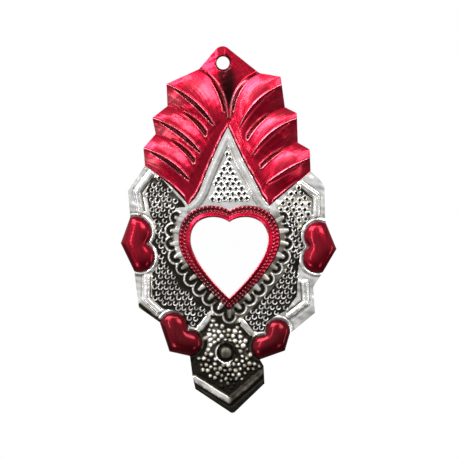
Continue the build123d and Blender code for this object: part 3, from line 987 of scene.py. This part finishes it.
# Top leaf: slopes to each side of its ridge, beads along its sides, and painted shade: darker on its right
# facet, round the hole, along its folds and in a dark wedge below the hole, with painted highlight lines along
# its sides.
TOP_RIDGE_X = -1.2
TOP_RIDGE_H = 1.5
TOP_RIDGE_UP = (-19, -5)
TOP_SLOPE_LEFT = 0.2
TOP_SLOPE_RIGHT = 0.28
TOP_SLOPE_UP = 0.25
TOP_UP_FROM = -4
TOP_UP_ROUND = 1.5
TOP_UP_LEFT = (2.5, -1.5)
TOP_CALM = 0.15
TOP_CALM_LEFT = (4, 1)
TOP_SIDE_SPAN = (0.0, 1.2)
TOP_BEAD = (0.4, 0.8, 0.33)
TOP_BEAD_SPAN = (0.1, 0.3)
TOP_FOLD_DARK = (0.6, 0.0, 0.45)
TOP_LINE = (0.8, 0.85, 0.4, 0.15)
TOP_LINE_SPAN = (0.15, 0.4)
TOP_DARK = 0.16
TOP_RIGHT_DARK = 0.1
TOP_RIGHT = (0.5, 3.5)
TOP_GRAIN = ((0.8, 0.6), (-0.6, 0.8))
HOLE_DISH = (0.3, 0.0, 0.45)
HOLE_DARK = (0.55, 0.25)
WEDGE = ((1.2, -4.2), (2.3, -15.0))
WEDGE_DARK = 0.65
WEDGE_HALF = (4.8, 1.6)
WEDGE_CORE = 0.3


class TinRelief:
    """Height of the bare tin, its patina with painted shade and painted highlights, and the marks punched in
    it, at every vertex of the bench.
    """

    def __init__(self, bench):
        self.bench = bench
        self.places = bench.places
        count = len(self.places)
        self.height = np.zeros(count)
        self.patina = np.zeros(count)
        distances = ("pit_r", "pit_core", "knob_r", "scallop_r")
        shades = ("pit_low", "knob_shine", "scallop_leg", "scallop_rim")
        self.marks = {key: np.full(count, MARK_REACH) for key in distances}
        self.marks |= {key: np.zeros(count) for key in shades}
        self.rng = np.random.default_rng(SEED)

    def near(self, spot, reach):
        """Vertices near a spot, with their offsets from it."""
        low = np.floor((np.asarray(spot) - reach - self.bench.low) / GRID).astype(int)
        high = np.ceil((np.asarray(spot) + reach - self.bench.low) / GRID).astype(int) + 1
        rows = np.arange(max(low[1], 0), min(high[1], self.bench.shape[0]))
        columns = np.arange(max(low[0], 0), min(high[0], self.bench.shape[1]))
        index = (rows[:, None] * self.bench.shape[1] + columns).ravel()
        return index, self.places[index] - spot

    def near_line(self, path, reach):
        """Vertices near a line, with their distance from it and whether they lie beside it."""
        path = np.asarray(path, float)
        close = np.all((self.places > path.min(0) - reach) & (self.places < path.max(0) + reach), axis=1)
        index = np.nonzero(close)[0]
        distance, share = line_distance(path, self.places[index])
        return index, distance, (share > 0) & (share < 1)

    def keep_closest(self, index, key, distance, **shades):
        """Where a mark is the closest one so far, its distance and what goes with it."""
        closer = distance < self.marks[key][index]
        for name, values in {key: distance, **shades}.items():
            self.marks[name][index[closer]] = np.broadcast_to(values, closer.shape)[closer]

    def hand_work(self):
        calm = 1 - TRIANGLE_CALM * inside(self.bench.triangle, self.places)
        self.height += calm * hand_waves(self.places, SHEET_WAVES, self.rng)

    def border(self, path, width, rise, outer_share=None):
        """A ridge and the troughs at its foot, the outer one fainter where a share is given."""
        index, distance, beside = self.near_line(path, RIDGE_REACH)
        outer, inner = RIDGE_SIDE
        self.height[index] += rise * smooth(width * outer, width * inner, distance)
        trough = ridge(TROUGH, distance - width) * beside
        if outer_share:
            x, y = self.places[index].T
            path_x, path_y = np.transpose(path)
            trough[np.abs(x) > np.abs(np.interp(-y, -path_y, path_x))] *= outer_share
        self.patina[index] += TROUGH_DARK * trough
        self.height[index] -= TROUGH_D * trough

    def borders(self):
        for path in EDGE_RIDGES:
            self.border(path, EDGE_RIDGE_W, RIDGE_H, OUTER_TROUGH)
        for path in TAIL_RIDGES:
            self.border(path, TAIL_RIDGE_W, TAIL_RIDGE_H)
        self.border(TIP_RIDGE, TAIL_RIDGE_W, RIDGE_H)

    def triangle(self):
        """Two smooth bands inside the triangle's sides, each ended by a fine line painted dark as shade, round
        a sunk panel.
        """
        sides = (*reversed(TRIANGLE_LEFT), APEX, *TRIANGLE_RIGHT)
        index, distance, _ = self.near_line(sides, RIDGE_REACH)
        within = inside(self.bench.triangle, self.places[index])
        index, distance = index[within], distance[within]
        self.height[index] += ridge(TRIANGLE_BAND, distance) - PANEL_D * smooth(*PANEL_SPAN, distance)
        self.patina[index] += sum(ridge(dark, distance) for dark in TRIANGLE_LINES)

    def hearts(self):
        for loop in self.bench.hearts:
            index, distance, _ = self.near_line(closed(loop), HEART_REACH)
            self.height[index] += ridge(HEART_BEAD, distance)
            # Painted shade: a dark line round the heart, outside its bead.
            self.patina[index] += ridge(HEART_LINE, distance)

    def scallops(self):
        """Crescents open towards the frame: a raised rim with a painted highlight, a groove painted black as
        shade, darker towards the upper left, and a leaning tongue with a painted highlight.
        """
        smallest, largest = SCALLOP_SIZES
        for spot, outward in scallop_spots():
            index, offset = self.near(spot, SCALLOP_REACH)
            turn, size = self.rng.uniform((-SCALLOP_TURN, smallest), (SCALLOP_TURN, largest))
            swing = np.array(((math.cos(turn), -math.sin(turn)), (math.sin(turn), math.cos(turn))))
            outward = swing @ np.asarray(outward)
            out = offset @ outward / size
            across = offset @ np.array((-outward[1], outward[0])) / size
            r = np.where(out > 0, np.hypot(out, across), np.abs(across))
            legs = smooth(*LEG_SPAN, out)
            groove = bump(r - SCALLOP_R, SCALLOP_W) * legs
            lip = ridge(SCALLOP_LIP, r - SCALLOP_R) * legs
            half = TONGUE_HALF + TONGUE_WIDEN * smooth(*TONGUE_WIDE_SPAN, out)
            tongue = smooth(half, TONGUE_CORE * half, np.abs(across + TONGUE_LEAN * turn * out))
            tongue *= smooth(*TONGUE_TIP, out) * smooth(*TONGUE_FOOT, out)
            self.height[index] += lip + TONGUE_H * tongue - SCALLOP_D * groove
            # Painted highlight on the tongue, brighter on the larger scallops; below, painted highlight on the
            # rim and painted shade in the groove.
            self.patina[index] -= (TONGUE_BRIGHT + TONGUE_GROWTH * (size - smallest)) * tongue
            lit = self.rng.uniform(*LIP_BRIGHT) * smooth(*LIP_SPAN, out)
            dark = legs * (LEG_DARK + (1 - LEG_DARK) * np.tanh(offset @ LEG_LIGHT))
            self.keep_closest(index, "scallop_r", r, scallop_leg=dark, scallop_rim=lit)

    def pits(self, field, punch):
        """Round punch marks: a raised rim round a dent, with painted shade in its middle and a painted
        highlight on its lower wall.
        """
        for spot in punch_spots(field, punch, self.rng):
            radius = PIT_R * self.rng.uniform(*PIT_SIZES)
            index, offset = self.near(spot, PIT_REACH)
            r = np.linalg.norm(offset, axis=1) / radius
            self.height[index] += ridge(PIT_LIP, r) - PIT_D * smooth(*PIT_SPAN, r)
            core = np.linalg.norm(offset / radius - np.array(PIT_CORE_AT), axis=1)
            low = 0.5 + 0.5 * (offset @ PIT_LOW) / np.maximum(r * radius, TINY)
            self.keep_closest(index, "pit_r", r, pit_core=core, pit_low=low)

    def knobs(self):
        """Raised knobs, each of its own shape and painted highlight, set towards the upper left, that sink into
        the black towards the tip.
        """
        least, most = zip((0, math.pi), KNOB_SQUASH, KNOB_SHINE)
        for spot in punch_spots(FIELD_TAIL, TAIL_PUNCH, self.rng):
            radius = KNOB_R * self.rng.uniform(*KNOB_SIZES)
            turn, squash, shine = self.rng.uniform(least, most)
            if math.dist(spot, BOSS_AT) < BOSS_R + BOSS_CLEAR:
                continue
            index, offset = self.near(spot, KNOB_REACH)
            u = offset @ (math.cos(turn), math.sin(turn)) / radius
            v = offset @ (-math.sin(turn), math.cos(turn)) / (radius * squash)
            dome = np.sqrt(np.clip(1 - u ** 2 - v ** 2, 0, 1))
            r = np.linalg.norm(offset / radius - np.array(KNOB_TOP_AT), axis=1)
            self.height[index] = np.maximum(self.height[index], KNOB_H * dome)
            self.keep_closest(index, "knob_r", r, knob_shine=shine * smooth(*KNOB_SHINE_UP, spot[1]))

    def boss(self):
        index, offset = self.near(BOSS_AT, BOSS_REACH)
        r = np.linalg.norm(offset, axis=1)
        dome = np.sqrt(np.clip(1 - (r / BOSS_R) ** 2, 0, 1))
        ring = ridge(BOSS_RING, r - BOSS_R)
        low_left = smooth(*BOSS_LIT, -offset.sum(axis=1) / np.maximum(r, TINY))
        self.height[index] += BOSS_H * dome + BOSS_RING_H * ring
        # Painted highlights on the top and the lower left of the ring; painted shade round the foot.
        bright = BOSS_RING_BRIGHT * ring * low_left + BOSS_BRIGHT * smooth(*BOSS_TOP, dome)
        self.patina[index] += bump(r - BOSS_R, BOSS_DARK_W) - bright

    def tarnish(self):
        # Partly tarnish, partly painted shade: darker lower down and on the upper left, in a band outside the
        # frame, over the tail and towards its tip; painted highlights by the frame on the left and along the
        # tail's ridges.
        x, y = self.places.T
        lower = smooth(*LOWER_DOWN, y)
        in_left, in_right = inside(FIELD_LEFT, self.places), inside(FIELD_RIGHT, self.places)
        upper_dark = LEFT_TARNISH * in_left + RIGHT_TARNISH * in_right
        self.patina += lower * (in_left | in_right) + (1 - lower) * upper_dark
        self.patina += inside(self.bench.tail, self.places) * (TAIL_DARK + TIP_DARK * smooth(*TIP_DOWN, y))
        frame_edge = window_loop(FRAME_W, even_stations(FRAME_W, RING_STEPS))
        index, distance, _ = self.near_line(frame_edge, RING_REACH)
        left = x[index] < AXIS_X
        dark = RING_DARK + RING_MORE * (left + lower[index])
        self.patina[index] += dark * smooth(*RING_SPAN, distance) * smooth(*RING_DOWN, y[index])
        self.patina[index] -= CLEAN_BAND * left * smooth(*CLEAN_SPAN, distance) * smooth(*CLEAN_UP, y[index])
        index, distance, _ = self.near_line(TIP_RIDGE, RIDGE_REACH)
        bright = TIP_BRIGHT + TIP_LEFT_BRIGHT * smooth(*TIP_LEFT, x[index])
        self.patina[index] -= bright * bump(distance, TIP_GLINT_W)
        for path in TAIL_RIDGES:
            index, distance, _ = self.near_line(path, RIDGE_REACH)
            self.patina[index] -= ridge(TAIL_GLINT, distance)
        index, distance, _ = self.near_line(BLACK_EDGE, BLACK_EDGE_REACH)
        self.patina[index] += ridge(BLACK_EDGE_DARK, distance)

    def top_leaf(self):
        """Height, pooled lacquer with painted shade, and painted highlight lines of the leaf with the hole."""
        x, y = self.places.T
        off = x - TOP_RIDGE_X
        roof = TOP_RIDGE_H * smooth(*TOP_RIDGE_UP, y)
        roof -= TOP_SLOPE_LEFT * np.logaddexp(0, -off) + TOP_SLOPE_RIGHT * np.logaddexp(0, off)
        up = TOP_UP_ROUND * np.logaddexp(0, (y - TOP_UP_FROM) / TOP_UP_ROUND)
        roof -= TOP_SLOPE_UP * up * smooth(*TOP_UP_LEFT, off)
        uneven = hand_waves(self.places, TOP_WAVES, self.rng)
        roof += uneven * (TOP_CALM + (1 - TOP_CALM) * smooth(*TOP_CALM_LEFT, off))
        hole = np.hypot(x, y) - HOLE_D / 2
        wedge, share = line_distance(WEDGE, self.places)
        half = np.interp(share, (0, 1), WEDGE_HALF)
        # Painted shade: darker on the right facet, round the hole, in a wedge below it and along the folds at
        # its sides, over a slightly deeper red all over; painted highlight lines run along its sides.
        hollow = TOP_DARK + TOP_RIGHT_DARK * smooth(*TOP_RIGHT, off) + smooth(*HOLE_DARK, hole)
        hollow += WEDGE_DARK * smooth(half, WEDGE_CORE * half, wedge)
        beads, pale = np.zeros((2, len(x)))
        t = np.linspace(0, 1, RIB_STEPS)
        for rib, side in ((LEFT_RIBS[0], 1), (RIGHT_RIBS[0], -1)):
            distance, share = line_distance(rib_curve(rib, side, t), self.places)
            roof *= smooth(*TOP_SIDE_SPAN, distance)
            beads += ridge(TOP_BEAD, distance) * smooth(*TOP_BEAD_SPAN, share)
            hollow += ridge(TOP_FOLD_DARK, distance)
            pale += line(TOP_LINE, distance) * smooth(*TOP_LINE_SPAN, share)
        return roof + beads - ridge(HOLE_DISH, hole), hollow, pale


def tin_relief(bench):
    relief = TinRelief(bench)
    relief.hand_work()
    relief.borders()
    relief.triangle()
    relief.hearts()
    relief.scallops()
    relief.tarnish()
    relief.pits(FIELD_LEFT, SIDE_PUNCH)
    relief.pits(FIELD_RIGHT, SIDE_PUNCH)
    relief.pits(FIELD_TRIANGLE, TRIANGLE_PUNCH)
    relief.knobs()
    relief.boss()
    return relief


def tin_piece(name, bench, faces, relief, material):
    used, faces = bench.pick(faces)
    layers = {key: values[used] for key, values in relief.marks.items()}
    layers["patina"] = np.clip(relief.patina[used], 0, 1)
    make_piece(name, bench.places[used], relief.height[used], faces, material, "tinplate", **layers)


def top_leaf(bench, faces, relief, material):
    used, faces = bench.pick(faces)
    height, hollow, pale = [values[used] for values in relief.top_leaf()]
    places = bench.places[used]
    grain = [places @ way for way in TOP_GRAIN]
    red_piece("top_leaf", places, height, faces, material, hollow, *grain, pale)


class Nodes:
    """The node tree of a material or a world, with short ways to add and join nodes."""

    def __init__(self, owner, shader):
        self.owner = owner
        owner.use_nodes = True
        self.tree = owner.node_tree
        self.shader = self.tree.nodes[shader]

    def feed(self, socket, value):
        """Joins an output to a socket, or sets the socket's value."""
        if isinstance(value, bpy.types.NodeSocket):
            self.tree.links.new(value, socket)
        else:
            socket.default_value = (*value, 1.0) if socket.type == "RGBA" else value

    def add(self, kind, **settings):
        node = self.tree.nodes.new(kind)
        for key, value in settings.items():
            socket = node.inputs.get(key.replace("_", " "))
            if socket is None:
                setattr(node, key, value)
            else:
                self.feed(socket, value)
        return node

    def set(self, **values):
        for key, value in values.items():
            self.feed(self.shader.inputs[key.replace("_", " ")], value)

    def noise(self, scale, detail, stretch=(1, 1, 1)):
        spot = self.add("ShaderNodeTexCoord").outputs["Object"]
        place = self.add("ShaderNodeMapping", Vector=spot, Scale=stretch).outputs["Vector"]
        texture = self.add("ShaderNodeTexNoise", Vector=place, Scale=scale, Detail=detail, Roughness=0.55)
        return texture.outputs["Fac"]

    def grain(self, across, along):
        """Fine streaks that follow the attributes of the same names."""
        x = self.times(self.attribute("across"), across)
        y = self.times(self.attribute("along"), along)
        place = self.add("ShaderNodeCombineXYZ", X=x, Y=y).outputs[0]
        texture = self.add("ShaderNodeTexNoise", Vector=place, Scale=1.0, Detail=1.0, Roughness=0.5)
        return texture.outputs["Fac"]

    def attribute(self, name):
        return self.add("ShaderNodeAttribute", attribute_name=name).outputs["Fac"]

    def ramp(self, source, *stops):
        """A scale of colours, or of greys where the stops are single levels."""
        node = self.add("ShaderNodeValToRGB", Fac=source)
        elements = node.color_ramp.elements
        while len(elements) < len(stops):
            elements.new(0.5)
        for element, (spot, color) in zip(elements, stops):
            element.position = spot
            element.color = (*color, 1.0) if isinstance(color, tuple) else (color, color, color, 1.0)
        return node.outputs["Color"]

    def fade(self, source, low, high):
        return self.ramp(source, (low, 0.0), (high, 1.0))

    def band(self, name, stops):
        """A line drawn along a distance, up to MARK_REACH, that an attribute holds."""
        share = self.times(self.attribute(name), 1 / MARK_REACH)
        return self.ramp(share, *[(spot / MARK_REACH, level) for spot, level in stops])

    def mix(self, share, first, second):
        node = self.add("ShaderNodeMix", data_type="RGBA")
        for socket, value in zip((node.inputs[0], node.inputs[6], node.inputs[7]), (share, first, second)):
            self.feed(socket, value)
        return node.outputs[2]

    def math(self, operation, first, second):
        node = self.add("ShaderNodeMath", operation=operation)
        self.feed(node.inputs[0], first)
        self.feed(node.inputs[1], second)
        return node.outputs[0]

    def plus(self, first, second):
        return self.math("ADD", first, second)

    def minus(self, first, second):
        return self.math("SUBTRACT", first, second)

    def times(self, first, second):
        return self.math("MULTIPLY", first, second)

    def bump(self, source, strength, depth):
        node = self.add("ShaderNodeBump", Height=source, Strength=strength, Distance=depth * MM)
        self.set(Normal=node.outputs["Normal"])


# Colours, and how far from each punch mark's middle its painted shade and painted highlight lines begin and
# end.
TIN = (0.78, 0.78, 0.775)
TIN_WARM = (0.66, 0.65, 0.62)
# Tarnish brown and patina black, also used for the tin's painted shade.
TARNISH = (0.36, 0.33, 0.27)
PATINA = (0.016, 0.014, 0.011)
RED = (0.42, 0.0015, 0.02)
# Deep red of pooled lacquer and of painted shade.
RED_DEEP = (0.045, 0.001, 0.003)
RED_LIGHT = (0.58, 0.004, 0.032)
# Pink of the painted highlights.
RED_PALE = (0.85, 0.25, 0.31)
SILVER = (0.985, 0.988, 0.988)
CARD_DARK = (0.36, 0.29, 0.2)
CARD_LIGHT = (0.55, 0.47, 0.35)
SOLDER_DARK = (0.36, 0.36, 0.37)
SOLDER_LIGHT = (0.6, 0.6, 0.61)
FLOOR_DARK = (0.82, 0.82, 0.82)
FLOOR_LIGHT = (0.86, 0.86, 0.86)
PIT_RING = ((0.6, 0.0), (0.75, 1.0), (1.15, 1.0), (1.35, 0.0))
PIT_RING_BRIGHT = 1.4
PIT_LOW_SPAN = (0.05, 0.45)
PIT_CORE = ((0.0, 1.0), (0.62, 1.0), (0.78, 0.0))
KNOB_TOP = ((0.0, 1.0), (0.35, 1.0), (0.95, 0.0))
SCALLOP_GROOVE = ((0.75, 0.0), (1.1, 1.0), (1.75, 1.0), (1.9, 0.0))
SCALLOP_RIM = ((1.9, 0.0), (2.05, 1.0), (2.55, 1.0), (2.8, 0.0))
CLOUD_DIRT = 0.5
BACK_CLEAN = 0.8
TARNISH_SPAN = (0.12, 0.5)
PATINA_SPAN = (0.45, 0.85)
COAT = 0.25
COAT_IOR = 1.5


def surface(name):
    return Nodes(bpy.data.materials.new(name), "Principled BSDF")


def tin_dirt(nodes, cloud):
    """How dark the tin is: its patina and clouds, the painted shade and painted highlights held with the
    patina, and the painted dark and bright lines of its punch marks.
    """
    dirt = nodes.plus(nodes.attribute("patina"), nodes.times(nodes.minus(cloud, 0.5), CLOUD_DIRT))
    # Painted highlight on each pit's lower wall and painted shade in its middle.
    low_side = nodes.fade(nodes.attribute("pit_low"), *PIT_LOW_SPAN)
    ring = nodes.times(nodes.band("pit_r", PIT_RING), low_side)
    dirt = nodes.minus(dirt, nodes.times(ring, PIT_RING_BRIGHT))
    dirt = nodes.plus(dirt, nodes.band("pit_core", PIT_CORE))
    # Painted highlight on the knobs' tops; painted shade in the scallops' grooves and painted highlight on
    # their rims.
    dirt = nodes.minus(dirt, nodes.times(nodes.band("knob_r", KNOB_TOP), nodes.attribute("knob_shine")))
    groove, rim = nodes.band("scallop_r", SCALLOP_GROOVE), nodes.band("scallop_r", SCALLOP_RIM)
    dirt = nodes.plus(dirt, nodes.times(groove, nodes.attribute("scallop_leg")))
    dirt = nodes.minus(dirt, nodes.times(rim, nodes.attribute("scallop_rim")))
    front = nodes.minus(1.0, nodes.times(nodes.attribute("back"), BACK_CLEAN))
    return nodes.times(dirt, front)


def tin_material():
    nodes = surface("tinplate_worked")
    cloud = nodes.noise(scale=160, detail=5)
    fine = nodes.noise(scale=1400, detail=1)
    streak = nodes.noise(scale=500, detail=1, stretch=(0.15, 1, 1))
    dirt = tin_dirt(nodes, cloud)
    clean = nodes.mix(nodes.fade(cloud, 0.42, 0.72), TIN, TIN_WARM)
    # Tarnish and painted shade: the tin goes brown, then black, as the dirt and shading rise.
    dull = nodes.mix(nodes.fade(dirt, *TARNISH_SPAN), clean, TARNISH)
    nodes.set(Base_Color=nodes.mix(nodes.fade(dirt, *PATINA_SPAN), dull, PATINA), Metallic=1.0)
    rough = nodes.plus(nodes.times(streak, 0.16), nodes.times(nodes.attribute("patina"), 0.15))
    nodes.set(Roughness=nodes.plus(rough, 0.15))
    nodes.bump(nodes.plus(fine, streak), strength=0.014, depth=0.2)
    return nodes.owner


def lacquer_material(name, roughness, grain, coat_roughness):
    nodes = surface(name)
    cloud = nodes.noise(scale=220, detail=4)
    fine = nodes.noise(scale=900, detail=1)
    streak = nodes.grain(across=1.6, along=0.16)
    tone = nodes.mix(nodes.fade(streak, 0.35, 0.65), RED, RED_LIGHT)
    # Painted shade: the red darkens towards RED_DEEP in valleys, folds, gaps and gutters, below the hole, on
    # shaded facets and lower down, as well as where lacquer pools.
    pooled = nodes.mix(nodes.fade(nodes.attribute("hollow"), 0.1, 0.9), tone, RED_DEEP)
    # Painted highlight: pink lines and sheen on ridges, lips, panels and teeth.
    thin = nodes.times(nodes.attribute("pale"), nodes.ramp(streak, (0.3, 0.6), (0.65, 1.0)))
    worn = nodes.times(nodes.attribute("bare"), nodes.fade(fine, 0.45, 0.55))
    red = nodes.mix(worn, nodes.mix(thin, pooled, RED_PALE), TIN)
    back = nodes.mix(nodes.fade(cloud, 0.35, 0.65), TIN_WARM, TIN)
    nodes.set(Base_Color=nodes.mix(nodes.attribute("back"), red, back), Metallic=1.0)
    nodes.set(Roughness=nodes.plus(nodes.times(cloud, roughness), roughness))
    nodes.set(Coat_Weight=COAT, Coat_Roughness=coat_roughness, Coat_IOR=COAT_IOR)
    nodes.bump(nodes.plus(streak, nodes.times(fine, 0.3)), strength=grain, depth=0.3)
    return nodes.owner


def mirror_material():
    nodes = surface("silvered_glass")
    dust = nodes.noise(scale=900, detail=3)
    nodes.set(Base_Color=SILVER, Metallic=1.0, Roughness=nodes.ramp(dust, (0.5, 0.0), (0.9, 0.06)))
    return nodes.owner


def card_material():
    nodes = surface("grey_brown_card")
    fibre = nodes.noise(scale=700, detail=6, stretch=(1, 1, 0.35))
    nodes.set(Base_Color=nodes.ramp(fibre, (0.3, CARD_DARK), (0.7, CARD_LIGHT)), Roughness=0.9)
    nodes.bump(fibre, strength=0.3, depth=0.2)
    return nodes.owner


def solder_material():
    nodes = surface("soft_solder")
    grain = nodes.noise(scale=900, detail=4)
    nodes.set(Base_Color=nodes.ramp(grain, (0.3, SOLDER_DARK), (0.7, SOLDER_LIGHT)), Metallic=1.0)
    nodes.set(Roughness=nodes.plus(nodes.times(grain, 0.3), 0.25))
    nodes.bump(grain, strength=0.3, depth=0.2)
    return nodes.owner


def back_tin_material():
    nodes = surface("tinplate_tab")
    cloud = nodes.noise(scale=300, detail=5)
    nodes.set(Base_Color=nodes.ramp(cloud, (0.35, TIN_WARM), (0.65, TIN)), Metallic=1.0)
    nodes.set(Roughness=nodes.plus(nodes.times(cloud, 0.3), 0.18))
    nodes.bump(cloud, strength=0.15, depth=0.2)
    return nodes.owner


def floor_material():
    nodes = surface("pale_floor")
    grain = nodes.noise(scale=40, detail=3)
    nodes.set(Base_Color=nodes.ramp(grain, (0.4, FLOOR_DARK), (0.6, FLOOR_LIGHT)), Roughness=0.8)
    return nodes.owner


# Camera, floor and lamps. Each lamp: place, with its height counted from the ornament's middle, size, watts.
CAMERA_AWAY = 900
SENSOR = 36
CLIP_END = 20000
FLOOR_DROP = 300
FLOOR_HALF = 600
LAMPS = {
    "key_softbox": ((-340, -480, 460), (400, 300), 3.5),
    "fill_softbox": ((260, -600, 280), (260, 200), 1.3),
    "left_strip": ((-500, -500, -200), (260, 460), 0.14),
    "right_strip": ((640, -360, -100), (50, 400), 0.4),
    "low_left": ((-260, -440, -300), (120, 120), 0.25),
    "low_right": ((260, -440, -300), (120, 120), 0.1),
    "upright_tube": ((-300, -660, 160), (30, 500), 0.8),
    "level_tube": ((50, -600, 500), (500, 40), 1.0),
    "back_softbox": ((250, 600, 450), (400, 300), 1.5),
}

# The studio's light, from below to above, from left to right, and close to straight ahead of the face.
SKY_UPRIGHT = (
    (0.0, 0.35), (0.1, 0.25), (0.22, 0.18), (0.34, 0.22), (0.45, 0.6),
    (0.5, 0.8), (0.56, 0.8), (0.7, 0.82), (1.0, 0.75),
)
SKY_ACROSS = ((0.0, 1.3), (0.3, 1.15), (0.45, 0.95), (0.7, 0.68), (1.0, 0.8))
SKY_AHEAD = ((0.0, 1.0), (0.1, 1.0), (0.16, 0.0))
SKY_AHEAD_TO = -0.99


def camera(middle):
    data = bpy.data.cameras.new("camera")
    data.sensor_width = SENSOR
    data.lens = SENSOR * CAMERA_AWAY / (PHOTO_PX * PX)
    data.clip_end = CLIP_END * MM
    eye = bpy.data.objects.new("camera", data)
    eye.location = (middle[0] * MM, -CAMERA_AWAY * MM, middle[1] * MM)
    eye.rotation_euler = (math.pi / 2, 0, 0)
    bpy.context.scene.collection.objects.link(eye)
    bpy.context.scene.camera = eye


def lamp(name, target, place, size, power):
    data = bpy.data.lights.new(name, "AREA")
    data.shape = "RECTANGLE"
    data.size, data.size_y = [side * MM for side in size]
    data.energy = power
    place = np.array(place) * MM + (0, 0, target[2])
    light = bpy.data.objects.new(name, data)
    light.location = place
    aim = np.array(target) - place
    flat = math.hypot(aim[0], aim[1])
    light.rotation_euler = (math.atan2(flat, -aim[2]), 0, math.atan2(-aim[0], aim[1]))
    bpy.context.scene.collection.objects.link(light)


def world():
    """White straight ahead of the face and to the camera; elsewhere a studio, darker below and to the right."""
    nodes = Nodes(bpy.data.worlds.new("studio"), "Background")
    spot = nodes.add("ShaderNodeTexCoord").outputs["Generated"]
    split = nodes.add("ShaderNodeSeparateXYZ", Vector=spot)
    scales = (("Z", 1.0, SKY_UPRIGHT), ("X", 1.0, SKY_ACROSS), ("Y", SKY_AHEAD_TO, SKY_AHEAD))
    levels = []
    for axis, end, stops in scales:
        span = nodes.add("ShaderNodeMapRange", Value=split.outputs[axis], From_Min=-1.0, From_Max=end)
        levels.append(nodes.ramp(span.outputs[0], *stops))
    upright, across, ahead = levels
    level = nodes.math("MAXIMUM", nodes.times(upright, across), ahead)
    path = nodes.add("ShaderNodeLightPath").outputs
    seen = nodes.math("MAXIMUM", path["Is Camera Ray"], path["Is Transmission Ray"])
    nodes.set(Color=nodes.math("MAXIMUM", level, seen))
    bpy.context.scene.world = nodes.owner


def floor(low):
    half = FLOOR_HALF * MM
    corners = [(-half, -half, 0), (half, -half, 0), (half, half, 0), (-half, half, 0)]
    mesh = bpy.data.meshes.new("floor")
    mesh.from_pydata(corners, [], [(0, 1, 2, 3)])
    mesh.materials.append(floor_material())
    plane = bpy.data.objects.new("floor", mesh)
    plane.location = (0, 0, low - FLOOR_DROP * MM)
    plane.visible_glossy = False
    bpy.context.scene.collection.objects.link(plane)
    plane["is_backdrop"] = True


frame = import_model()
cad_low, cad_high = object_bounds()

tin = tin_material()
brushed = lacquer_material("red_lacquer_brushed", roughness=0.15, grain=0.16, coat_roughness=0.12)
gloss = lacquer_material("red_lacquer_smooth", roughness=0.16, grain=0.04, coat_roughness=0.04)
bench = Bench()
relief = tin_relief(bench)
areas = bench.faces()
for area in ("triangle", "field_left", "field_right", "tail"):
    tin_piece(area, bench, areas[area], relief, tin)
top_leaf(bench, areas["top_leaf"], relief, brushed)
leaves("leaves_left", LEFT_RIBS, LEFT_DROPS, 1, TRIANGLE_LEFT, LEFT_GROOVE, brushed)
leaves("leaves_right", RIGHT_RIBS, RIGHT_DROPS, -1, TRIANGLE_RIGHT, RIGHT_GROOVE, brushed)
rope_frame(gloss)
for heart_name, heart_corners in HEARTS.items():
    edge_heart(heart_name, heart_corners, gloss)

dress = {
    "mirror_glass": mirror_material(),
    "backing_card": card_material(),
    "solder_tacks": solder_material(),
}
tab_tin = back_tin_material()
for node_name, node in frame["nodes"].items():
    for slot in node.material_slots:
        slot.material = dress.get(node_name, tab_tin)

middle = [(a + b) / 2 for a, b in zip(cad_low, cad_high)]
camera(at_pixel(PHOTO_PX / 2, PHOTO_PX / 2))
for lamp_name, settings in LAMPS.items():
    lamp(lamp_name, middle, *settings)
world()
floor(cad_low[2])
bpy.context.scene.view_settings.view_transform = "Standard"
